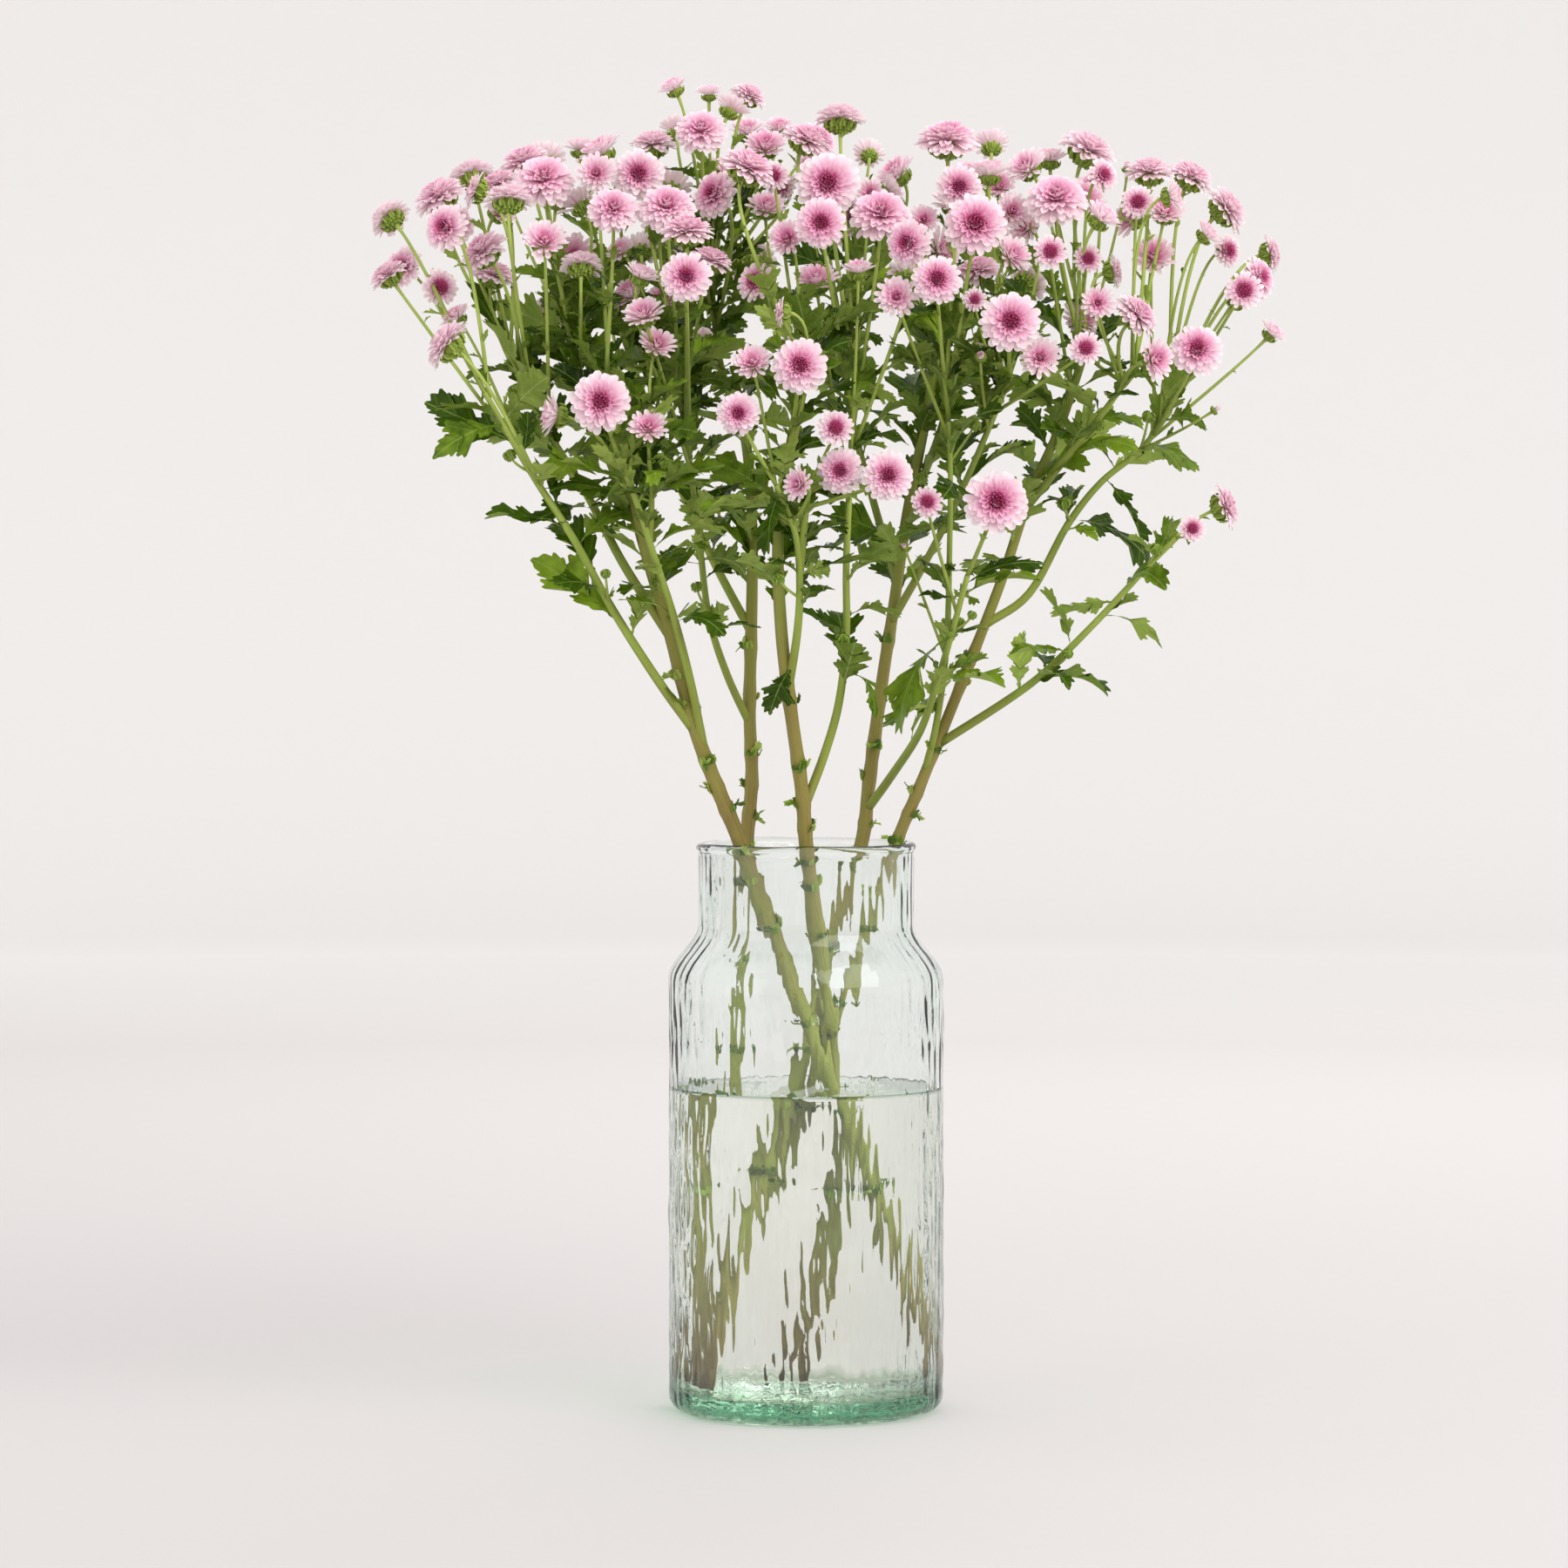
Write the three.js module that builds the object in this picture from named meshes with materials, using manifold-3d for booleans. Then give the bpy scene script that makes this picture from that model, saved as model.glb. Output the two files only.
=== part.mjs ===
// A bouquet of five spray chrysanthemum stems in a glass bottle vase with water.
// Millimetres, +Z up. The origin is the centre of the vase's underside.
// -Y is the front of the bouquet, +X its right.

import * as THREE from "three";
import { mergeVertices } from "three/addons/utils/BufferGeometryUtils.js";
import Module from "manifold-3d";

const wasm = await Module();
wasm.setup();

// ---- driving dimensions ------------------------------------------------------

const SEAT_GAP = 0.3; // between pieces that rest on or against each other
const JOIN_TOLERANCE = 0.02; // slivers this small are dropped from a joined solid

const BODY_RADIUS = 60;
const NECK_RADIUS = 47;
const VASE_HEIGHT = 250;
const SHOULDER_LOW = 190;
const SHOULDER_HIGH = 213;
const WALL = 3.4;
const FLOOR = 9;
const CORNER_RADIUS = 7;
const RIM_PROUD = 1.4;
const SHOULDER_STEPS = 5;
const SHOULDER_SINK = 0.4; // how far the inner shoulder lies below the outer one, per mm of wall
const VASE_SEGMENTS = 32;

const WATER_LEVEL = 142;
const WATER_SEGMENTS = 28;
const WATER_GAP = 0.7; // between water and glass, so that the flats of both clear each other
const CHANNEL_GAP = 0.4; // round each stem in the water

const FOOT_CLEARANCE = 3; // under and over the cut end of each stem

const STEM_SIDES = 8;
const STEM_STEPS = 14;
const SHOOT_SIDES = 6;
const PEDICEL_SIDES = 3;
const PEDICEL_RADIUS = 1.05;
const PEDICEL_BEND = 16; // how far below the head the pedicel turns into its line

const HEAD_SIDES = 8;
const JOINED_SIDES = 5;
const JOIN_DEPTH = 1; // how far a pedicel runs into a head that stays joined to its stem
const HEAD_BELOW = 0.3; // depth under the petal rim, as a share of the diameter
const HEAD_ABOVE = 0.16; // crown over the petal rim, as a share of the diameter

const LEAF_THICK = 0.9;
const LEAF_HALF_WIDTH = 0.27; // as a share of the leaf's length
const SPIRAL = 137.5; // degrees from one leaf on a shoot to the next

// ---- the grown parts -----------------------------------------------------------

// Each main stem from its cut end on the vase floor to its top.
const STEMS = {
  stem_left_front: {
    radius: 3.5,
    points: [
      [43, 19, 11.2], [27, 6, 80], [10, -8, 145], [-16, -22, 215], [-28, -28, 249], [-40, -33, 278],
      [-49, -37, 303], [-59, -41, 342], [-70, -44, 380], [-80, -46, 420], [-86, -44, 452],
    ],
  },
  stem_left_back: {
    radius: 3.2,
    points: [
      [-38, -8, 11], [-36, 5, 80], [-32, 16, 145], [-27, 26, 215], [-26, 29, 249], [-24, 37, 276],
      [-25, 43, 307], [-24, 50, 355], [-24, 55, 388], [-26, 58, 420], [-32, 58, 455],
    ],
  },
  stem_center: {
    radius: 3.3,
    points: [
      [-4, 40, 11], [7, 20.5, 80], [12, 0, 145], [4, -26, 215], [0, -39, 249], [-2, -46, 274],
      [-7, -54, 310], [-11, -60, 345], [-12, -65, 385], [-6, -63, 425], [2, -54, 462],
    ],
  },
  stem_right_back: {
    radius: 3.2,
    points: [
      [-38, -20, 11.2], [-21, -7, 80], [-4, 7, 145], [15, 23, 215], [25, 31, 249], [28, 36, 274],
      [34, 44, 319], [39, 48, 351], [45, 52, 392], [52, 52, 428], [58, 48, 462],
    ],
  },
  stem_right: {
    radius: 2.8,
    points: [
      [-40, 20, 10.8], [-18, 15, 80], [4, 11, 145], [28.5, 6, 215], [39.6, 3, 249], [50, 4, 274],
      [67, 6, 316], [85, 8, 362], [98, 8, 401], [111, 4, 431], [123, 0, 468],
    ],
  },
};

// Side shoots. Each starts inside the stem or shoot that bears it.
const SHOOTS = {
  // left front
  long_left: { stem: "stem_left_front", radius: 2.1, points: [
    [-49, -37, 300], [-64, -44, 321], [-83, -50, 351], [-100, -54, 382], [-118, -52, 410],
    [-138, -42, 444]] },
  left_two: { stem: "stem_left_front", radius: 2.1, points: [
    [-59, -41, 340], [-79, -36, 371], [-95, -28, 401], [-115, -18, 433], [-130, -10, 464]] },
  left_three: { stem: "stem_left_front", radius: 1.9, points: [
    [-70, -44, 381], [-84, -26, 412], [-96, -8, 444], [-104, 4, 472]] },
  bright_front: { stem: "stem_left_front", radius: 1.9, points: [
    [-44, -35, 290], [-50, -46, 321], [-57, -56, 349], [-65, -63, 374], [-72, -68, 396], [-80, -74, 416]] },
  bright_twig: { stem: "stem_left_front", radius: 1.5, points: [
    [-67, -64, 380], [-66, -66, 400], [-67, -70, 415]] },
  // left back
  thin_left: { stem: "stem_left_back", radius: 1.8, points: [
    [-25, 42, 300], [-35, 34, 322], [-43, 26, 348], [-47, 14, 382], [-52, 2, 424], [-56, -8, 462]] },
  back_left: { stem: "stem_left_back", radius: 2.0, points: [
    [-24, 48, 340], [-44, 58, 378], [-64, 56, 424], [-82, 42, 474]] },
  back_top: { stem: "stem_left_back", radius: 1.9, points: [
    [-26, 58, 424], [-38, 54, 460], [-42, 44, 496]] },
  // centre
  center_front: { stem: "stem_center", radius: 1.9, points: [
    [-8, -55, 316], [-4, -66, 342], [-3, -72, 363], [-5, -76, 384], [-13, -80, 404]] },
  center_right: { stem: "stem_center", radius: 1.8, points: [
    [-3, -72, 368], [-1, -76, 388], [1, -76, 404]] },
  center_long: { stem: "stem_center", radius: 2.0, points: [
    [-1, -43, 266], [8, -46, 290], [14, -48, 312], [17, -52, 340], [17, -52, 372], [19, -46, 416],
    [21, -36, 462]] },
  // right back
  front_right: { stem: "stem_right_back", radius: 2.0, points: [
    [27, 34, 262], [38, 20, 278], [50, 0, 298], [57, -18, 320], [63, -36, 342], [69, -50, 366]] },
  green_right: { stem: "stem_right_back", radius: 1.8, points: [
    [38, 47, 345], [54, 28, 374], [68, 4, 403], [80, -22, 432], [88, -36, 452]] },
  back_right: { stem: "stem_right_back", radius: 2.0, points: [
    [45, 52, 392], [60, 64, 430], [70, 62, 470]] },
  back_middle: { stem: "stem_right_back", radius: 1.9, points: [
    [41, 49, 362], [30, 62, 400], [20, 66, 440], [16, 58, 480]] },
  // right
  low_right: { stem: "stem_right", radius: 1.9, points: [
    [58, 5, 292], [87, -6, 311], [104, -12, 324], [126, -18, 346], [147, -24, 369], [160, -26, 382]] },
  second_right: { stem: "stem_right", radius: 1.9, points: [
    [78, 7, 344], [98, 14, 358], [115, 20, 388], [130, 22, 407], [147, 20, 421], [160, 14, 438]] },
  third_right: { stem: "stem_right", radius: 1.9, points: [
    [96, 8, 395], [112, -14, 416], [128, -26, 436], [142, -30, 456]] },
  inner_right: { stem: "stem_right", radius: 1.6, points: [
    [52, 4, 280], [57, -4, 302], [61, -12, 335], [62, -22, 375], [62, -32, 415], [60, -40, 448]] },
};

// Flower heads: the shoot that bears it, how far along that shoot its pedicel leaves (0 to 1),
// the middle of its petal rim, its diameter, and where it faces: degrees round from
// the front towards the right, then degrees up. "joined" heads stay joined to their stem.
const HEADS = [
  ["long_left", 1.0, [-184, 30, 524], 22, -130, 40],
  ["long_left", 0.86, [-182, -10, 497], 19, -80, 55],
  ["left_two", 1.0, [-161, 5, 532], 25, -60, 55],
  ["left_two", 0.95, [-148, 34, 543], 21, -150, 60, "joined"],
  ["left_two", 0.92, [-144, -14, 533], 18, -90, 20, "joined"],
  ["long_left", 0.98, [-155, -44, 515], 21, -30, 10],
  ["left_two", 0.85, [-140, -26, 506], 23, -60, 45],
  ["left_two", 0.98, [-135, 12, 538], 19, -60, 60, "joined"],
  ["left_three", 1.0, [-125, 34, 549], 23, -40, 60],
  ["left_three", 0.95, [-116, 56, 551], 17, 180, 50, "joined"],
  ["left_three", 0.9, [-114, -8, 538], 27, 0, 40],
  ["left_two", 0.8, [-128, -40, 528], 22, 180, 75],
  ["left_two", 0.7, [-112, -54, 508], 18, 0, 35],
  ["long_left", 0.82, [-152, -10, 478], 13, -60, 50, "joined"],
  ["long_left", 0.75, [-154, -60, 465], 24, -90, 35],
  ["bright_front", 1.0, [-87, -88, 439], 26, 0, 8],
  ["bright_front", 0.85, [-107, -72, 434], 17, -80, 10, "joined"],
  ["bright_twig", 1.0, [-67, -84, 428], 15, 0, 35, "joined"],
  ["bright_twig", 0.6, [-64, -58, 464], 15, 20, 40, "joined"],
  ["left_three", 0.75, [-97, -34, 500], 19, 180, 70, "joined"],
  ["left_three", 0.7, [-110, 32, 484], 22, 180, 60, "joined"],
  ["stem_left_front", 1.0, [-83, -40, 523], 23, 0, 35],
  ["left_three", 0.98, [-99, 0, 528], 17, -120, 50, "joined"],
  ["back_left", 1.0, [-100, 42, 555], 14, 0, 85, "joined"],
  ["back_left", 0.97, [-90, 20, 552], 18, -60, 55, "joined"],
  ["stem_left_front", 0.97, [-91, -14, 540], 16, 0, 10, "joined"],
  ["thin_left", 0.95, [-73, -12, 540], 23, 0, 10],
  ["back_left", 0.93, [-67, 20, 556], 21, 0, 80],
  ["back_top", 0.9, [-57, 44, 563], 15, 180, 60, "joined"],
  ["back_top", 0.85, [-46, 4, 560], 23, 0, 40],
  ["back_top", 0.8, [-60, 34, 536], 18, 180, 30, "joined"],
  ["thin_left", 0.9, [-60, -40, 524], 25, 0, 40],
  ["back_top", 0.7, [-40, -16, 531], 23, -40, 20],
  ["back_top", 1.0, [-18, 34, 555], 17, 0, 50, "joined"],
  ["back_top", 0.98, [-12, 56, 565], 12, 0, 60, "joined"],
  ["back_top", 0.96, [-33, 22, 571], 15, 120, 60, "joined"],
  ["back_top", 0.92, [-25, 44, 579], 20, 60, 60],
  ["back_top", 0.88, [-43, 50, 580], 13, 0, 80, "joined"],
  ["back_top", 0.95, [-58, 20, 580], 15, -60, 60, "joined"],
  ["thin_left", 0.82, [-51, -66, 513], 23, 0, 72],
  ["thin_left", 0.75, [-51, -84, 492], 22, 0, 10],
  ["thin_left", 0.85, [-80, -24, 506], 12, -40, 40, "joined"],
  ["back_left", 0.75, [-72, 12, 508], 15, 180, 30, "joined"],
  ["stem_center", 0.98, [-25, -32, 542], 26, 60, 60],
  ["stem_center", 0.96, [-14, 0, 540], 14, 0, 10, "joined"],
  ["center_long", 1.0, [0, 12, 557], 22, 60, 60],
  ["center_long", 0.98, [15, 20, 567], 23, 180, 80],
  ["back_middle", 1.0, [28, 38, 552], 13, 180, 30, "joined"],
  ["center_long", 0.96, [9, -30, 535], 28, 0, 10],
  ["center_long", 0.9, [6, -62, 516], 22, 0, 5],
  ["center_long", 0.94, [28, 10, 533], 12, 0, 10, "joined"],
  ["back_middle", 0.95, [37, 34, 536], 15, 90, 30, "joined"],
  ["center_long", 0.87, [32, -40, 521], 27, 0, 40],
  ["center_long", 0.84, [43, -66, 507], 21, -30, 5],
  ["inner_right", 0.97, [51, -12, 520], 12, 0, 20, "joined"],
  ["center_long", 0.8, [22, -56, 496], 13, 0, 75, "joined"],
  ["stem_center", 0.93, [-8, -48, 510], 15, -20, 20, "joined"],
  ["stem_center", 0.9, [-11, -84, 477], 13, -90, 5, "joined"],
  ["stem_center", 0.86, [-3, -98, 454], 27, 0, 10],
  ["stem_center", 0.82, [-23, -84, 455], 16, -10, 35, "joined"],
  ["center_front", 1.0, [-29, -94, 434], 21, 0, 8],
  ["center_right", 1.0, [12, -92, 428], 16, 0, 12],
  ["center_right", 0.9, [14, -87, 410], 20, -10, 5],
  ["center_right", 0.7, [34, -96, 408], 25, 0, 10],
  ["center_front", 0.8, [-3, -96, 404], 14, -40, 5, "joined"],
  ["back_right", 1.0, [62, 10, 557], 28, 0, 70],
  ["back_right", 0.95, [82, 38, 556], 15, 180, 50, "joined"],
  ["green_right", 1.0, [80, 10, 542], 17, 0, 80, "joined"],
  ["inner_right", 1.0, [66, -20, 534], 20, 0, 5],
  ["inner_right", 0.95, [72, -52, 516], 27, 0, 15],
  ["green_right", 0.96, [89, -8, 524], 15, 20, 10, "joined"],
  ["green_right", 0.92, [88, -40, 503], 16, 40, 30, "joined"],
  ["inner_right", 0.9, [55, -82, 491], 21, 0, 10],
  ["inner_right", 0.85, [38, -72, 484], 16, 0, 5, "joined"],
  ["green_right", 0.88, [72, -46, 484], 11, 0, 15, "joined"],
  ["green_right", 0.98, [86, -84, 473], 26, 0, 10],
  ["green_right", 0.9, [99, -72, 458], 16, 0, 10, "joined"],
  ["green_right", 0.8, [118, -78, 462], 15, 0, 10, "joined"],
  ["green_right", 0.72, [74, -66, 459], 9, 0, 20, "joined"],
  ["front_right", 1.0, [80, -88, 397], 27, 0, 10],
  ["front_right", 0.86, [51, -78, 397], 14, 0, 10, "joined"],
  ["front_right", 0.7, [42, -44, 378], 6, -20, 40, "joined"],
  ["stem_right", 0.97, [97, 10, 544], 17, -40, 35, "joined"],
  ["stem_right", 1.0, [108, 36, 550], 15, 0, 80, "joined"],
  ["stem_right", 0.98, [108, -22, 529], 28, 0, 45],
  ["stem_right", 0.94, [104, -56, 504], 15, 0, 5, "joined"],
  ["stem_right", 0.95, [121, -38, 502], 13, 0, 5, "joined"],
  ["stem_right", 1.0, [125, 30, 554], 27, 70, 60],
  ["stem_right", 0.99, [129, -6, 540], 15, 30, 10, "joined"],
  ["stem_right", 0.96, [126, -46, 519], 17, 70, 50, "joined"],
  ["stem_right", 0.985, [141, 18, 545], 8, 0, 60, "joined"],
  ["third_right", 1.0, [150, 6, 543], 22, 0, 80],
  ["second_right", 1.0, [169, 12, 541], 22, 70, 60],
  ["second_right", 0.97, [186, 30, 528], 24, 80, 35],
  ["third_right", 0.96, [143, -26, 527], 15, 0, 5, "joined"],
  ["third_right", 0.98, [157, -32, 529], 14, 80, 10, "joined"],
  ["second_right", 0.92, [174, -8, 514], 13, 80, 40, "joined"],
  ["third_right", 0.9, [134, -10, 498], 16, 90, 10, "joined"],
  ["third_right", 0.85, [124, -60, 482], 13, 0, 5, "joined"],
  ["third_right", 0.88, [142, -44, 478], 22, 60, 40],
  ["second_right", 0.94, [189, -26, 489], 17, 0, 5],
  ["second_right", 0.9, [198, 6, 496], 20, 50, 10],
  ["second_right", 0.96, [206, 36, 508], 20, 90, 10],
  ["second_right", 0.85, [204, 10, 472], 14, 70, 45, "joined"],
  ["third_right", 0.8, [148, -60, 458], 16, 40, 5, "joined"],
  ["second_right", 0.88, [168, -38, 463], 23, 0, 20],
  ["second_right", 0.8, [178, -12, 438], 7, 60, 30, "joined"],
  ["low_right", 1.0, [166, -40, 386], 12, 0, 10],
  ["low_right", 0.98, [182, -20, 396], 21, 80, 20],
  // at the back
  ["back_left", 0.9, [-62, 84, 520], 24, 180, 30],
  ["back_top", 0.8, [-24, 92, 506], 25, 175, 25],
  ["back_left", 0.86, [-94, 72, 503], 22, -150, 25, "joined"],
  ["back_middle", 0.96, [12, 86, 524], 23, 170, 35, "joined"],
  ["back_right", 0.8, [46, 98, 499], 26, 170, 20],
  ["back_right", 0.96, [82, 80, 522], 22, 150, 35, "joined"],
  ["back_right", 0.85, [100, 66, 497], 20, 140, 25, "joined"],
  ["back_middle", 0.7, [-4, 100, 468], 20, 180, 15, "joined"],
  ["back_left", 0.7, [-48, 104, 470], 22, -170, 15, "joined"],
  ["back_right", 0.65, [82, 98, 466], 20, 160, 15, "joined"],
];

// Leaves: the stem or shoot, how far along it (0 to 1), the way the leaf points
// (degrees round from the front towards the right, then degrees up) and its length.
const LEAVES = [
  ["left_two", 0.62, -90, 18, 38], ["left_two", 0.78, -100, 45, 30], ["long_left", 0.62, -80, 5, 33],
  ["long_left", 0.36, -85, 26, 44], ["long_left", 0.48, -110, 35, 36], ["long_left", 0.88, -90, 12, 38],
  ["long_left", 0.05, -60, 50, 15], ["long_left", 0.92, -40, -30, 34], ["left_two", 0.45, -40, -10, 36],
  ["second_right", 0.86, 85, 32, 44], ["second_right", 0.84, 70, -28, 24], ["second_right", 0.62, 60, -60, 30],
  ["second_right", 0.42, 90, -28, 36], ["low_right", 0.62, 80, -28, 28], ["low_right", 0.28, 75, -6, 36],
  ["low_right", 0.26, 0, 80, 24], ["low_right", 0.5, -60, 60, 26], ["low_right", 0.85, 110, 30, 22],
  ["front_right", 0.78, -60, -58, 46], ["front_right", 0.5, 20, 35, 26], ["front_right", 0.92, 80, 10, 32],
  ["center_long", 0.42, 60, -50, 27], ["center_front", 0.1, -30, -60, 22], ["center_front", 0.5, 80, 10, 34],
  ["center_front", 0.85, -75, -5, 38], ["center_front", 0.95, -20, -50, 30], ["center_long", 0.62, 40, 30, 30],
  ["bright_front", 0.4, -70, 10, 22], ["bright_front", 0.62, 85, 10, 30], ["bright_front", 0.8, -60, 40, 34],
  ["bright_front", 0.9, 60, 55, 40], ["bright_twig", 0.5, 70, 20, 30], ["thin_left", 0.34, 80, 8, 20],
  ["thin_left", 0.55, 60, -20, 28], ["stem_left_back", 0.86, -30, -20, 34], ["inner_right", 0.5, 40, -10, 26],
  ["inner_right", 0.8, 20, 30, 38], ["green_right", 0.5, 60, 30, 34], ["green_right", 0.7, -10, 30, 38],
  ["third_right", 0.3, 60, 10, 34], ["third_right", 0.62, -40, 30, 36], ["third_right", 0.9, 40, -10, 28],
];

// Leaves that follow the spiral of a growing shoot: the shoot, where they begin and end on it
// (0 to 1), how many there are, the way the first one points, and their usual length.
const LEAF_SPIRALS = [
  ["stem_left_front", 0.74, 0.97, 4, 150, 38],
  ["stem_left_back", 0.7, 0.97, 5, 200, 38],
  ["stem_center", 0.76, 0.97, 4, 100, 36],
  ["stem_right_back", 0.7, 0.97, 5, 160, 38],
  ["stem_right", 0.74, 0.97, 4, 0, 36],
  ["left_three", 0.3, 0.95, 3, 120, 34],
  ["back_left", 0.3, 0.95, 4, 170, 36],
  ["back_top", 0.3, 0.9, 2, 60, 32],
  ["back_middle", 0.3, 0.95, 3, 230, 34],
  ["back_right", 0.3, 0.95, 3, 90, 34],
  ["thin_left", 0.6, 0.95, 2, 300, 32],
];

// ---- colours --------------------------------------------------------------------

const glassMaterial = new THREE.MeshStandardMaterial({
  color: 0xcfe6dc, roughness: 0.05, metalness: 0, transparent: true, opacity: 0.4,
});
const waterMaterial = new THREE.MeshStandardMaterial({
  color: 0xdfeee4, roughness: 0.02, metalness: 0, transparent: true, opacity: 0.35,
});
const leafyMaterial = new THREE.MeshStandardMaterial({ color: 0x5f7d35, roughness: 0.6, metalness: 0 });
const petalMaterial = new THREE.MeshStandardMaterial({ color: 0xe7a6c8, roughness: 0.7, metalness: 0 });

// ---- shape helpers ----------------------------------------------------------------

const radians = THREE.MathUtils.degToRad;

function heading(around, up) {
  const level = Math.cos(radians(up));
  return new THREE.Vector3(
    level * Math.sin(radians(around)),
    -level * Math.cos(radians(around)),
    Math.sin(radians(up)),
  );
}

function smoothCurve(points) {
  const corners = points.map(([x, y, z]) => new THREE.Vector3(x, y, z));
  return new THREE.CatmullRomCurve3(corners, false, "catmullrom", 0.5);
}

function regularSection(radius, sides) {
  const corners = [];
  for (let i = 0; i < sides; i += 1) {
    const angle = (2 * Math.PI * i) / sides;
    corners.push(new THREE.Vector2(radius * Math.cos(angle), radius * Math.sin(angle)));
  }
  return new THREE.Shape(corners);
}

function weld(geometry) {
  geometry.deleteAttribute("normal");
  geometry.deleteAttribute("uv");
  return mergeVertices(geometry, 1e-4);
}

function toSolid(geometry) {
  const welded = weld(geometry);
  const vertProperties = new Float32Array(welded.attributes.position.array);
  const triVerts = new Uint32Array(welded.index.array);
  return new wasm.Manifold(new wasm.Mesh({ numProp: 3, vertProperties, triVerts }));
}

function toGeometry(solid) {
  const mesh = solid.getMesh();
  const geometry = new THREE.BufferGeometry();
  geometry.setAttribute("position", new THREE.BufferAttribute(new Float32Array(mesh.vertProperties), 3));
  geometry.setIndex(new THREE.BufferAttribute(new Uint32Array(mesh.triVerts), 1));
  return geometry;
}

function tubeGeometry(curve, radius, sides, steps) {
  return new THREE.ExtrudeGeometry(regularSection(radius, sides), {
    steps, extrudePath: curve, bevelEnabled: false, curveSegments: 1,
  });
}

function latheGeometry(profile, segments) {
  return new THREE.LatheGeometry(profile.map(([r, z]) => new THREE.Vector2(r, z)), segments)
    .rotateX(Math.PI / 2);
}

// ---- vase and water -----------------------------------------------------------------

// The S-shaped shoulder from body to neck, at a given distance inside the outer face.
function shoulderPoints(inset) {
  const points = [];
  for (let i = 0; i <= SHOULDER_STEPS; i += 1) {
    const share = i / SHOULDER_STEPS;
    const ease = share * share * (3 - 2 * share);
    points.push([
      BODY_RADIUS - inset + (NECK_RADIUS - BODY_RADIUS) * ease,
      SHOULDER_LOW + (SHOULDER_HIGH - SHOULDER_LOW) * share - inset * SHOULDER_SINK,
    ]);
  }
  return points;
}

// The rounded corner where a floor at the given height meets a wall of the given radius.
function cornerPoints(radius, floor) {
  return [90, 60, 30, 0].map((angle) => [
    radius - CORNER_RADIUS + CORNER_RADIUS * Math.cos(radians(angle)),
    floor + CORNER_RADIUS - CORNER_RADIUS * Math.sin(radians(angle)),
  ]);
}

function buildVase() {
  const outer = [
    [0, 0],
    ...cornerPoints(BODY_RADIUS, 0),
    ...shoulderPoints(0),
    [NECK_RADIUS, VASE_HEIGHT - 4.2],
    [NECK_RADIUS + RIM_PROUD, VASE_HEIGHT - 2.6],
    [NECK_RADIUS + RIM_PROUD * 0.7, VASE_HEIGHT - 0.6],
    [NECK_RADIUS - WALL / 2, VASE_HEIGHT],
    [NECK_RADIUS - WALL + 0.3, VASE_HEIGHT - 0.8],
    [NECK_RADIUS - WALL, VASE_HEIGHT - 2.6],
  ];
  const inner = [
    ...shoulderPoints(WALL).reverse(),
    ...cornerPoints(BODY_RADIUS - WALL, FLOOR).reverse(),
    [0, FLOOR],
  ];
  const geometry = latheGeometry([...outer, ...inner], VASE_SEGMENTS);
  return new THREE.Mesh(toGeometry(toSolid(geometry)), glassMaterial);
}

function buildWater() {
  const inset = WALL + WATER_GAP;
  const geometry = latheGeometry([
    [0, FLOOR + SEAT_GAP],
    ...cornerPoints(BODY_RADIUS - inset, FLOOR + SEAT_GAP),
    [BODY_RADIUS - inset, WATER_LEVEL],
    [0, WATER_LEVEL],
  ], WATER_SEGMENTS);
  let water = toSolid(geometry);
  for (const [name, { radius }] of Object.entries(STEMS)) {
    const channel = radius + CHANNEL_GAP;
    water = water.subtract(toSolid(tubeGeometry(curves[name], channel, STEM_SIDES, STEM_STEPS)));
    water = water.subtract(toSolid(tubeGeometry(footCurve(name), channel, STEM_SIDES, 1)));
  }
  return new THREE.Mesh(toGeometry(water.asOriginal().simplify(JOIN_TOLERANCE)), waterMaterial);
}

// A short line through the cut end of a stem, down to the vase floor.
function footCurve(name) {
  const foot = curves[name].getPoint(0);
  const along = curves[name].getTangent(0);
  return new THREE.LineCurve3(
    foot.clone().addScaledVector(along, -FOOT_CLEARANCE), foot.clone().addScaledVector(along, FOOT_CLEARANCE),
  );
}

// ---- stems, pedicels, leaves ------------------------------------------------------------

const curves = {};
for (const [name, { points }] of Object.entries(STEMS)) curves[name] = smoothCurve(points);
for (const [name, { points }] of Object.entries(SHOOTS)) curves[name] = smoothCurve(points);

const stemOf = (bearer) => (STEMS[bearer] ? bearer : SHOOTS[bearer].stem);

function pedicelCurve([bearer, share, at, diameter, around, up, kind]) {
  const facing = heading(around, up);
  const start = curves[bearer].getPoint(share);
  const reach = kind === "joined" ? JOIN_DEPTH : -SEAT_GAP;
  const end = new THREE.Vector3(...at).addScaledVector(facing, reach - HEAD_BELOW * diameter);
  const bend = Math.min(PEDICEL_BEND, 0.4 * start.distanceTo(end));
  return new THREE.QuadraticBezierCurve3(start, end.clone().addScaledVector(facing, -bend), end);
}

function headGeometry([, , at, diameter, around, up, kind]) {
  const rim = diameter / 2;
  const sides = kind === "joined" ? JOINED_SIDES : HEAD_SIDES;
  const turn = new THREE.Quaternion().setFromUnitVectors(new THREE.Vector3(0, 0, 1), heading(around, up));
  return latheGeometry([
    [0, -HEAD_BELOW * diameter],
    [rim * 0.42, -HEAD_BELOW * diameter * 0.85],
    [rim, 0],
    [rim * 0.62, HEAD_ABOVE * diameter],
    [0, HEAD_ABOVE * diameter],
  ], sides).applyQuaternion(turn).translate(...at);
}

const halfLeaf = [[0.07, 0], [0.8, 0.4], [0.5, 0.54], [1, 0.72], [0, 1]];

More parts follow.
